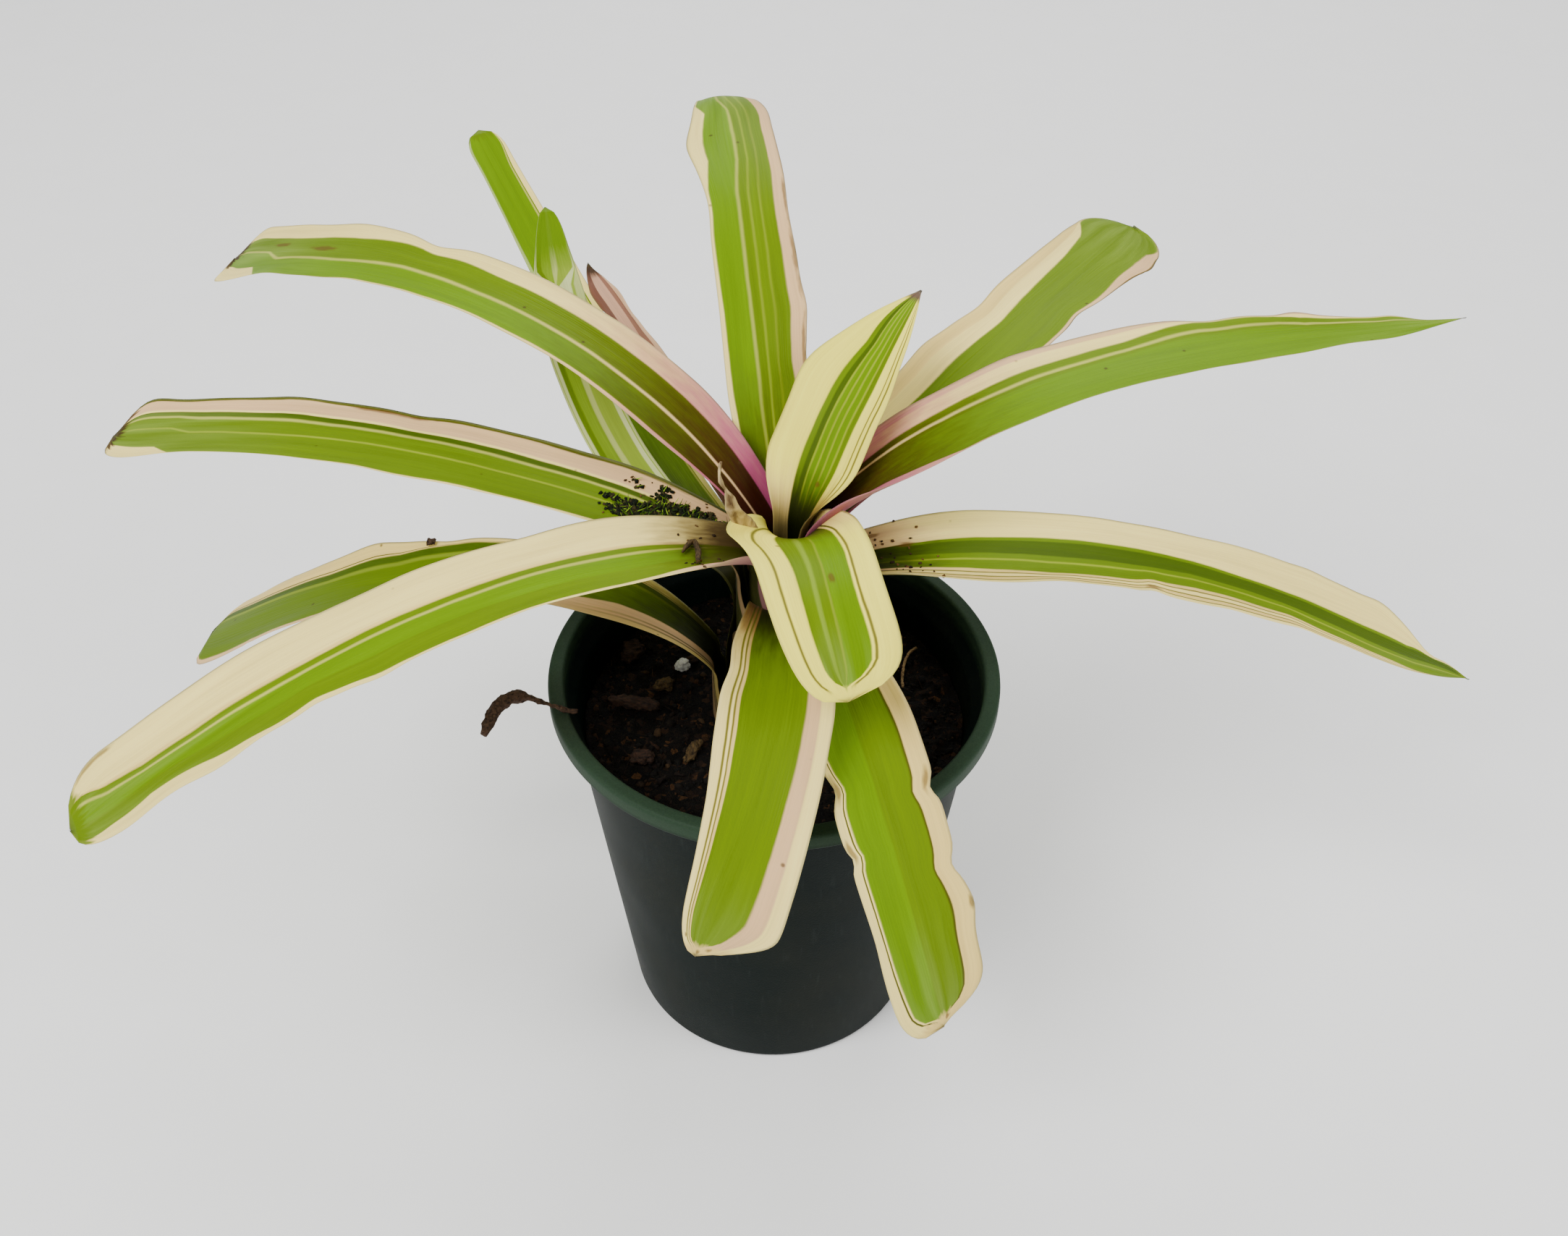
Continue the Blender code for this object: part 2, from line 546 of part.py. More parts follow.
def build():
    clear_scene()
    make_pot()
    make_soil()
    make_rootstock()
    for order, leaf in enumerate(LEAVES):
        make_leaf(leaf, order)
    make_twig()
    make_flake("bark_chip_back", 151, 0.90, 0.0125, 0.0075, 0.0030, 70, 1)
    make_flake("bark_chip_long", 178, 0.74, 0.0165, 0.0060, 0.0026, 168, 2)
    make_flake("bark_chip_middle", 163, 0.62, 0.0080, 0.0055, 0.0028, 30, 3)
    make_flake("bark_chip_sliver", 216, 0.52, 0.0120, 0.0034, 0.0024, 62, 4)
    make_flake("bark_chip_front", 209, 0.76, 0.0075, 0.0060, 0.0028, 10, 5)
    make_flake("perlite_grain", 147, 0.60, 0.0055, 0.0045, 0.0036, 0, 6, "perlite")
    make_root_strand("dry_root_long", (41, 0.93), (24, 0.60), 0.002)
    make_root_strand("dry_root_short", (33, 0.93), (16, 0.72), -0.002)
    make_clump("litter_left", "leaf_left_mid", (0.04, 0.17), (-0.95, -0.1), 0.0030, 11, "potting mix")
    make_clump("litter_back", "leaf_back_left", (0.06, 0.13), (-0.6, 0.6), 0.0030, 12, "potting mix")
    make_clump("fallen_bud", "leaf_left_low", (0.50, 0.515), (-0.98, -0.8), 0.0020, 13, "dry stalk")
    make_stub("dry_stub", "leaf_left_long",
              [(0.086, 0.12), (0.077, -0.05), (0.068, -0.20), (0.060, -0.25),
               (0.060, -0.05), (0.063, 0.20), (0.070, 0.45), (0.077, 0.68)],
              [0.0005, 0.0007, 0.0009, 0.0010, 0.0009, 0.0009, 0.0008, 0.0006])
    throat = SOIL_LEVEL + 0.083
    make_ribbon("dry_sheath_tip",
                [(-0.0070, -0.0120, throat), (-0.0090, -0.0145, throat + 0.006),
                 (-0.0115, -0.0165, throat + 0.012), (-0.0120, -0.0180, throat + 0.018),
                 (-0.0150, -0.0190, throat + 0.024), (-0.0145, -0.0185, throat + 0.029)],
                [0.0060, 0.0055, 0.0045, 0.0035, 0.0035, 0.0015], [0, 10, 35, 70, 110, 130],
                LEAF_THICKNESS)


build()
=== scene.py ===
# %% [markdown]
# # A potted bromeliad, finished for the camera
# The solid model of this plant is plain: even sheets for leaves and a smooth pot.  This lesson
# puts the real surfaces over it.  It loads the solid model as a fixed frame, then makes each
# leaf, the pot, the soil and the small dry bits again with fine meshes and node materials,
# every one in the place that its solid holds.

import math

import bmesh
import bpy
import numpy as np
from mathutils import Matrix, Vector, noise


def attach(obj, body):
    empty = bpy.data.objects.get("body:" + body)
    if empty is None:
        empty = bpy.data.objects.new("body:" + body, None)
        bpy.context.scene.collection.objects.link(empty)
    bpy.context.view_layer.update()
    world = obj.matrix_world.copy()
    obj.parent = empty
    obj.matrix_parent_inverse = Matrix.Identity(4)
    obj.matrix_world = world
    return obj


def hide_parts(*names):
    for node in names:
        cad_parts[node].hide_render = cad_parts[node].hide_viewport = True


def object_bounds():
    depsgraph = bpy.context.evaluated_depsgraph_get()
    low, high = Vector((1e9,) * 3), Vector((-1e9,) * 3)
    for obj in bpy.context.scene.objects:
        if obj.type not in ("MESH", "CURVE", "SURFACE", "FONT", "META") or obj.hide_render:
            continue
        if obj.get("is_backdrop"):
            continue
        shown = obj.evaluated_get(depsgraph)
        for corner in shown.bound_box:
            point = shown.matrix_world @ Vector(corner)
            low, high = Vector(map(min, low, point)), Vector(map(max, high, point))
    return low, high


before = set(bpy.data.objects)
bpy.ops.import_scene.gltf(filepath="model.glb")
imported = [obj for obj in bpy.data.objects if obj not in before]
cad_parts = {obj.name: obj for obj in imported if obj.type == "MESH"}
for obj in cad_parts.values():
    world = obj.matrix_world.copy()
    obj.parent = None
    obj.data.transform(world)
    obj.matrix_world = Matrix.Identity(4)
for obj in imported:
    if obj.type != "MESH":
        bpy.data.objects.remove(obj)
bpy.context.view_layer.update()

# %% [markdown]
# ## Camera
# The plant is seen from the front and from well above the pot, so the leaves spread like a
# fan and the soil shows.  A camera needs a place, a tilt and a lens.  Its own axes are turned
# as one matrix here, because the view also leans by a fraction of a degree.

# %% Camera
CAMERA_PLACE = Vector((0.0028, -0.367, 0.482))
CAMERA_TILT = math.radians(41.45)          # below the horizon
CAMERA_LEAN = 0.011                        # radians, about the line of sight
CAMERA_LENS = 37.2127                      # mm, on a sensor 36 mm wide
camera_data = bpy.data.cameras.new("camera")
camera_data.sensor_width = 36.0
camera_data.lens = CAMERA_LENS
camera_data.clip_start, camera_data.clip_end = 0.01, 50.0
camera = bpy.data.objects.new("camera", camera_data)
camera.matrix_world = (Matrix.Translation(CAMERA_PLACE)
                       @ Matrix.Rotation(math.pi / 2 - CAMERA_TILT, 4, "X")
                       @ Matrix.Rotation(CAMERA_LEAN, 4, "Z"))
bpy.context.scene.collection.objects.link(camera)
bpy.context.scene.camera = camera
print(f"camera lens {camera_data.lens:.1f} mm")

# %% [markdown]
# ## Helpers for nodes and colours
# Colours are written as the sRGB hex values that a paint program shows.  Shaders work in
# linear light, so one function turns them.  A second small function adds a node, sets it and
# links it in one line, and gives back the output that the next node needs.  The few kinds of
# node that come up again and again have short names of their own, built on that function.


# %% Colours and nodes
def linear(hex_colour):
    """An sRGB hex colour as linear red, green, blue and 1."""
    parts = [int(hex_colour[k:k + 2], 16) / 255 for k in (1, 3, 5)]
    return (*[c / 12.92 if c <= 0.04045 else ((c + 0.055) / 1.055) ** 2.4 for c in parts], 1.0)


def add(tree, kind, inputs=None, output=0, **settings):
    """Add a node.  inputs: socket name or number -> a value, or an output to link."""
    made = tree.nodes.new(kind)
    for key, value in settings.items():
        setattr(made, key, value)
    for key, value in (inputs or {}).items():
        if isinstance(value, bpy.types.NodeSocket):
            tree.links.new(value, made.inputs[key])
        else:
            made.inputs[key].default_value = value
    return made.outputs[output]


def calc(tree, operation, *values):
    """A Math node."""
    return add(tree, "ShaderNodeMath", dict(enumerate(values)), operation=operation)


def vector(tree, operation, *values):
    """A Vector Math node."""
    return add(tree, "ShaderNodeVectorMath", dict(enumerate(values)), operation=operation)


def scaled(tree, value, factor):
    """A vector or a colour times a number."""
    return add(tree, "ShaderNodeVectorMath", {0: value, "Scale": factor}, operation="SCALE")


def blend(tree, share, first, second):
    """A colour between two colours."""
    return add(tree, "ShaderNodeMix", {0: share, 6: first, 7: second}, 2, data_type="RGBA")


def remap(tree, value, low, high, to_low=0.0, to_high=1.0, soft=False):
    """A range turned into another range, straight or with soft ends."""
    return add(tree, "ShaderNodeMapRange", {
        "Value": value, "From Min": low, "From Max": high, "To Min": to_low, "To Max": to_high},
        interpolation_type="SMOOTHSTEP" if soft else "LINEAR")


def clouds(tree, place, scale, detail):
    """A Noise Texture."""
    return add(tree, "ShaderNodeTexNoise", {"Vector": place, "Scale": scale, "Detail": detail})


def drawn_clouds(tree, place, stretch, detail):
    """Noise that is squeezed by its own factor along each axis."""
    return clouds(tree, vector(tree, "MULTIPLY", place, stretch), 1.0, detail)


def scene_object(name, data):
    """An object made from its data and linked to the scene."""
    made = bpy.data.objects.new(name, data)
    bpy.context.scene.collection.objects.link(made)
    return made


def new_material(name, roughness, specular=0.5):
    """An empty Principled material; returns it with its tree and its shader."""
    material = bpy.data.materials.new(name)
    material.use_nodes = True
    shader = material.node_tree.nodes["Principled BSDF"]
    shader.inputs["Roughness"].default_value = roughness
    shader.inputs["Specular IOR Level"].default_value = specular
    return material, material.node_tree, shader


def surface(tree, shader, colour, height, strength, depth, roughness=None):
    """Link a material's colour, its fine relief and, where it varies, its roughness."""
    tree.links.new(colour, shader.inputs["Base Color"])
    if roughness is not None:
        tree.links.new(roughness, shader.inputs["Roughness"])
    bump = add(tree, "ShaderNodeBump", {"Height": height, "Strength": strength,
                                        "Distance": depth})
    tree.links.new(bump, shader.inputs["Normal"])


def colour_ramp(tree, value, stops):
    """A colour ramp with these stops: (position, hex colour), in order."""
    made = add(tree, "ShaderNodeValToRGB", {0: value})
    elements = made.node.color_ramp.elements
    while len(elements) < len(stops):
        elements.new(1.0)
    for element, (place, colour) in zip(elements, stops):
        element.position = place
        element.color = linear(colour)
    return made


print("helpers ready")

# %% [markdown]
# ## Studio
# A pale matt floor and three large soft lamps, with a pale surround, give the even light of a
# product picture.  Large lamps make soft shadows, and the pale surround fills the dark pot.

# %% Floor and lamps
FLOOR_SIZE = 8.0
floor_mesh = bpy.data.meshes.new("floor")
half = FLOOR_SIZE / 2
floor_mesh.from_pydata([(-half, -half, 0), (half, -half, 0), (half, half, 0), (-half, half, 0)],
                       [], [(0, 1, 2, 3)])
floor = scene_object("floor", floor_mesh)
floor_paint, floor_tree, floor_shader = new_material("pale matt floor paint", 0.9, 0.1)
grit = add(floor_tree, "ShaderNodeTexNoise", {"Scale": 300.0, "Detail": 2.0})
floor_tree.links.new(
    blend(floor_tree, grit, linear("#fbfbf9"),
          linear("#ffffff")), floor_shader.inputs["Base Color"])
floor_mesh.materials.append(floor_paint)
floor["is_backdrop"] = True

world = bpy.data.worlds.new("studio")
world.use_nodes = True
world.node_tree.nodes["Background"].inputs[0].default_value = linear("#ffffff")
world.node_tree.nodes["Background"].inputs[1].default_value = 0.5
bpy.context.scene.world = world

# name, place, width, power: the key stands to the left and in front, high up
LAMPS = [("key lamp", (-0.9, -0.9, 1.7), 1.1, 42.0),
         ("fill lamp", (1.3, -0.6, 1.1), 1.2, 15.0),
         ("back lamp", (0.2, 1.3, 1.5), 1.2, 18.0)]
AIM = Vector((0.0, 0.0, 0.16))
for lamp_name, place, width, power in LAMPS:
    lamp_data = bpy.data.lights.new(lamp_name, "AREA")
    lamp_data.shape, lamp_data.size, lamp_data.energy = "DISK", width, power
    lamp = scene_object(lamp_name, lamp_data)
    lamp.location = place
    lamp.rotation_euler = (AIM - lamp.location).to_track_quat("-Z", "Y").to_euler()
print(len(LAMPS), "lamps")

# %% [markdown]
# ## Plain meshes from node trees
# Several pieces come from Geometry Nodes.  Each tree gets named inputs.  A modifier stores
# its inputs by the socket's identifier, so one function looks that up, evaluates the object,
# keeps the result as a plain mesh and takes the modifier away again.


# %% Growing a mesh from a tree
def new_tree(name, inputs):
    """A geometry tree with named inputs: (name, socket type, default).  Returns it and its
    input node."""
    tree = bpy.data.node_groups.new(name, "GeometryNodeTree")
    tree.interface.new_socket("Geometry", in_out="INPUT", socket_type="NodeSocketGeometry")
    tree.interface.new_socket("Geometry", in_out="OUTPUT", socket_type="NodeSocketGeometry")
    for title, kind, start in inputs:
        socket = tree.interface.new_socket(title, in_out="INPUT", socket_type=kind)
        if start is not None:
            socket.default_value = start
    return tree, tree.nodes.new("NodeGroupInput")


def end_tree(tree, geometry, material):
    """Close a tree: instances become real, smooth faces, one material."""
    real = add(tree, "GeometryNodeRealizeInstances", {"Geometry": geometry})
    smooth_faces = add(tree, "GeometryNodeSetShadeSmooth", {"Geometry": real})
    painted = add(tree, "GeometryNodeSetMaterial", {"Geometry": smooth_faces,
                                                    "Material": material})
    tree.links.new(painted, tree.nodes.new("NodeGroupOutput").inputs[0])


def store(tree, geometry, name, value, kind="FLOAT_VECTOR", domain="POINT"):
    """Keep a value on the geometry under a name."""
    return add(tree, "GeometryNodeStoreNamedAttribute", {
        "Geometry": geometry, "Name": name, "Value": value}, data_type=kind, domain=domain)


def place_mesh(name, mesh, body="root"):
    """Put a finished mesh in the scene as a piece that rides on a body."""
    mesh.name = name
    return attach(scene_object(name, mesh), body)


def grow(name, mesh, tree, values):
    """Run a tree on a mesh with these input values and return the plain result mesh."""
    source = scene_object(name + "_source", mesh)
    modifier = source.modifiers.new("grow", "NODES")
    modifier.node_group = tree
    for item in tree.interface.items_tree:
        if item.item_type == "SOCKET" and item.in_out == "INPUT" and item.name in values:
            modifier[item.identifier] = values[item.name]
    graph = bpy.context.evaluated_depsgraph_get()
    grown = bpy.data.meshes.new_from_object(source.evaluated_get(graph), depsgraph=graph)
    source.modifiers.clear()
    bpy.data.objects.remove(source)
    return grown


def mesh_from(work, name):
    """A named mesh made from a finished bmesh."""
    mesh = bpy.data.meshes.new(name)
    work.to_mesh(mesh)
    work.free()
    return mesh


def close_up(mesh, merge=1e-7):
    """Merge doubled points and turn every face outwards."""
    work = bmesh.new()
    work.from_mesh(mesh)
    bmesh.ops.remove_doubles(work, verts=work.verts, dist=merge)
    bmesh.ops.recalc_face_normals(work, faces=work.faces)
    work.to_mesh(mesh)
    work.free()
    return mesh


print("tree helpers ready")

# %% [markdown]
# ## Where each leaf runs
# A bromeliad's leaf is a strap.  Its lower end is a sheath wrapped round the plant's axis, then
# a short neck bends outwards and the free blade follows one smooth curve.  The frame was made
# by the same rule: walk along the midrib, with the slope and the heading given at each step.
# The same numbers are repeated here, so each fine leaf lies in its solid.  Short lists under
# the table give the few tips that stray from it by some millimetres.

# %% Sizes of the plant and its leaves
MM = 0.001
SOIL_LEVEL = 0.117
PLANT_AXIS = (0.004, 0.0)
OUTER_FOOT = 0.002
SHEATH_INNER_RADIUS = 0.0045
SHEATH_STEP = 0.0013
SHEATH_FOOT_STEP = 0.0037
SHEATH_TAPER = 0.016
LEAF_THICKNESS = 0.0007
LEAF_WIDTH = 0.030
NECK_BEND_RADIUS = 0.010
WRAP_LIMIT = math.radians(110)
WAIST_SHARE = 0.62
WAIST_WRAP = math.radians(78)
CHANNEL_RADIUS = 0.055
UNFURL_LENGTH = 0.050
ROW_SPACING = 0.0018          # between the rows of points along a leaf

# From the innermost leaf out: name, azimuth, sideways swing (middle, tip), slope (neck,
# between, tip), blade length in mm, neck height above the soil in mm, share of LEAF_WIDTH,
# twist at the tip, shape of the tip.  Angles are in degrees.
LEAVES = [
    ("heart", 58, (-5, -7), (66, 36, 12), 78, 73, 1.00, 0, "pointed"),
    ("cup_front", 284, (-14, 11), (46, -6, -52), 71, 71, 1.10, 0, "blunt"),
    ("right_long", 18, (-8, 14), (45, -15, -10), 226, 70, 0.95, 0, "tapered"),
    ("upper_left", 144, (10, -11), (48, -18, -25), 250, 68, 0.90, -24, "blunt"),
    ("back_right", 46, (-3, 19), (24, 12, -14), 178, 64, 1.00, 0, "blunt"),
    ("left_long", 202, (7, 8), (21, -17, -26), 196, 62, 1.05, 0, "blunt"),
    ("back_upright", 100, (-2, -2), (62, 37, -35), 197, 58, 0.85, 0, "blunt"),
    ("right_low", 3, (-7, -7), (12, -19, -29), 197, 53, 1.05, 0, "pointed"),
    ("left_mid", 164, (1, 8), (15, 1, -13), 198, 57, 1.00, 0, "blunt"),
    ("back_dry", 121, (-2, -3), (23, 22, 0), 122, 52, 0.40, 0, "pointed"),
    ("front_middle", 267, (4, -70), (10, -30, -84), 110, 53, 1.10, -66, "blunt"),
    ("front_right", 291, (-12, 23), (5, -40, -73), 120, 44, 1.00, 0, "blunt"),
    ("back_pale", 131, (0, -30), (-10, 43, 66), 142, 35, 0.60, 0, "blunt"),
    ("back_left", 119, (3, 9), (-5, 36, 37), 197, 30, 0.60, 0, "blunt"),
    ("left_low", 180, (-6, -15), (54, -33, -34), 186, 21, 0.90, 0, "blunt"),
]
# The two innermost leaves open into their full width sooner than the rest: the length over
# which they unfurl, and half of the width where the sheath ends.
EARLY_UNFURL = {"heart": (0.022, 0.0090), "cup_front": (0.018, 0.0105)}
# How square a blunt tip is: 2 is half a circle.
BLUNTNESS = {"cup_front": 4.0, "front_middle": 2.0, "front_right": 2.8, "left_mid": 3.4,
             "left_low": 7.0, "back_right": 1.7, "back_upright": 1.8}
# Leaves whose outer part arches over: the margins turn down between these shares of the
# blade, to this curvature across the leaf (per metre).
ARCHED = {"back_upright": (0.45, 0.80, -34), "back_right": (0.55, 0.95, -7),
          "left_low": (0.55, 0.95, -8)}
# The share of its length at which a leaf ends short.
CUT_SHORT = {"left_low": 0.965}
# A turn about the midrib that grows towards the tip, in degrees.
TURNED = {"back_right": 15}
LEAF_ORDER = {row[0]: order for order, row in enumerate(LEAVES)}
print(len(LEAVES), "leaves")


# %% The midrib and the widths along it
def smooth(x):
    x = np.clip(x, 0.0, 1.0)
    return x * x * (3.0 - 2.0 * x)


def leaf_run(row):
    """What the leaf does at each step along its midrib, as a dictionary of arrays."""
    (name, azimuth, sway, slope, length, neck_height, width, twist, tip) = row
    order = LEAF_ORDER[name]
    radius0 = SHEATH_INNER_RADIUS + SHEATH_STEP * order
    foot_z = SOIL_LEVEL + OUTER_FOOT + SHEATH_FOOT_STEP * (len(LEAVES) - 1 - order)
    sheath = SOIL_LEVEL + neck_height * MM - foot_z
    neck = NECK_BEND_RADIUS * math.radians(90 - slope[0])
    blade = length * MM

    def angles(s):
        t = np.clip((s - sheath - neck) / blade, 0, 1)
        free = (1 - t) ** 2 * slope[0] + 2 * t * (1 - t) * slope[1] + t * t * slope[2]
        bend = smooth((s - sheath) / neck)
        pitch = np.where(s < sheath + neck, 90 + (slope[0] - 90) * bend, free)
        heading = azimuth + 2 * t * (1 - t) * sway[0] + t * t * sway[1]
        return np.radians(pitch), np.radians(heading)

    full = 0.5 * LEAF_WIDTH * width
    unfurl, waist = EARLY_UNFURL.get(
        name, (UNFURL_LENGTH, min(WAIST_SHARE * full, WAIST_WRAP * radius0)))
    shown = CUT_SHORT.get(name, 1.0)
    total = sheath + neck + blade * shown
    s = np.linspace(0, total, int(total / ROW_SPACING))
    fine = np.linspace(0, total, 3000)
    pitch, heading = angles(0.5 * (fine[1:] + fine[:-1]))
    step = np.stack([np.cos(pitch) * np.cos(heading), np.cos(pitch) * np.sin(heading),
                     np.sin(pitch)], axis=1) * (fine[1] - fine[0])
    start = math.radians(azimuth)
    foot = np.array([PLANT_AXIS[0] + radius0 * math.cos(start),
                     PLANT_AXIS[1] + radius0 * math.sin(start), foot_z])
    path = np.vstack([foot, foot + np.cumsum(step, axis=0)])
    points = np.stack([np.interp(s, fine, path[:, k]) for k in range(3)], axis=1)

    pitch, heading = angles(s)
    t = (s - sheath - neck) / blade
    reached = np.clip(t, 0, 1)
    opened = smooth((s - sheath) / (neck + unfurl))
    side = np.stack([-np.sin(heading), np.cos(heading), 0 * heading], axis=1)
    up = np.stack([-np.sin(pitch) * np.cos(heading), -np.sin(pitch) * np.sin(heading),
                   np.cos(pitch)], axis=1)
    turn = (np.radians(twist + TURNED.get(name, 0)) * reached ** 2)[:, None]
    side, up = side * np.cos(turn) + up * np.sin(turn), up * np.cos(turn) - side * np.sin(turn)

    round_end = 1.1 * full / blade
    near_tip = reached / shown - 1
    if tip == "blunt":
        end = np.sqrt(np.clip(1 - np.clip(near_tip / round_end + 1, 0, 1)
                              ** BLUNTNESS.get(name, 2.3), 0.0, 1))
    elif tip == "pointed":
        end = np.clip(1 - np.clip(near_tip / (2.6 * round_end) + 1, 0, 1) ** 1.6, 0.0, 1)
    else:
        end = np.clip(1 - np.clip((reached - 0.45) / 0.55, 0, 1) ** 1.5, 0.0, 1)
    curvature = (1 / radius0) * (radius0 / CHANNEL_RADIUS) ** opened
    if name in ARCHED:
        first, last, turned_down = ARCHED[name]
        share = smooth((t - first) / (last - first))
        curvature = curvature * (1 - share) + turned_down * share
        curvature = np.where(np.abs(curvature) < 0.5, 0.5, curvature)
    wrapped = min(1.3 * full, WRAP_LIMIT * radius0)
    half_width = waist + (full - waist) * smooth((s - sheath) / unfurl)
    half_width = half_width + (wrapped - waist) * smooth(-(s - sheath) / SHEATH_TAPER)
    return dict(points=points, side=side, up=up, t=t, s=s, half=half_width * np.maximum(end, .02),
                curl=1 / curvature, end=end)


print("blade of the longest leaf:", max(row[4] for row in LEAVES), "mm")

# %% [markdown]
# ## What each leaf looks like
# Every leaf of this plant is striped along its length: a green middle, and cream or pinkish
# margins whose width changes from base to tip, often with thin lines inside them.  So a leaf's
# look is written down in two parts.  `margins` says how wide each margin is, as a share of the
# leaf's width, at a few places along the blade.  `bands` says which colours lie across it, on
# a scale where 0 to 0.3 is the right-hand margin, 0.3 to 0.7 the middle and 0.7 to 1 the
# left-hand margin, seen from the crown looking outwards.

# %% Leaf colours
CREAM = "#f8e088"
LEMON = "#faec5c"
BEIGE = "#e6c878"
BLUSH = "#dcb484"
PINK = "#a8446e"
PALE_LINE = "#8f9f24"
WHITE_LINE = "#b2b450"
GREEN = "#607b04"
BRIGHT = "#628602"
DEEP = "#43590a"
OLIVE = "#4c4e13"
# a dark olive for the leaf bases in the crown: partly their own colour, partly painted shade of the
# crown
SHADED_OLIVE = "#282d0b"
PURPLE = "#371309"
MAUVE = "#5f4040"
# a pale frosty green: the bloom on the outer blades, partly painted sheen, and a pale margin of
# back_left
FROST = "#9db060"
BROWN = "#402a18"
TAN = "#7a5a30"
LINE = "#716c26"      # thin olive line inside a cream margin
SCAR = "#5f3f1c"
UNDERSIDE = "#a9b48a"
MIDDLE_START, MIDDLE_END = 0.3, 0.7      # the green middle on the scale of the bands
THINNEST_MARGIN = 0.004
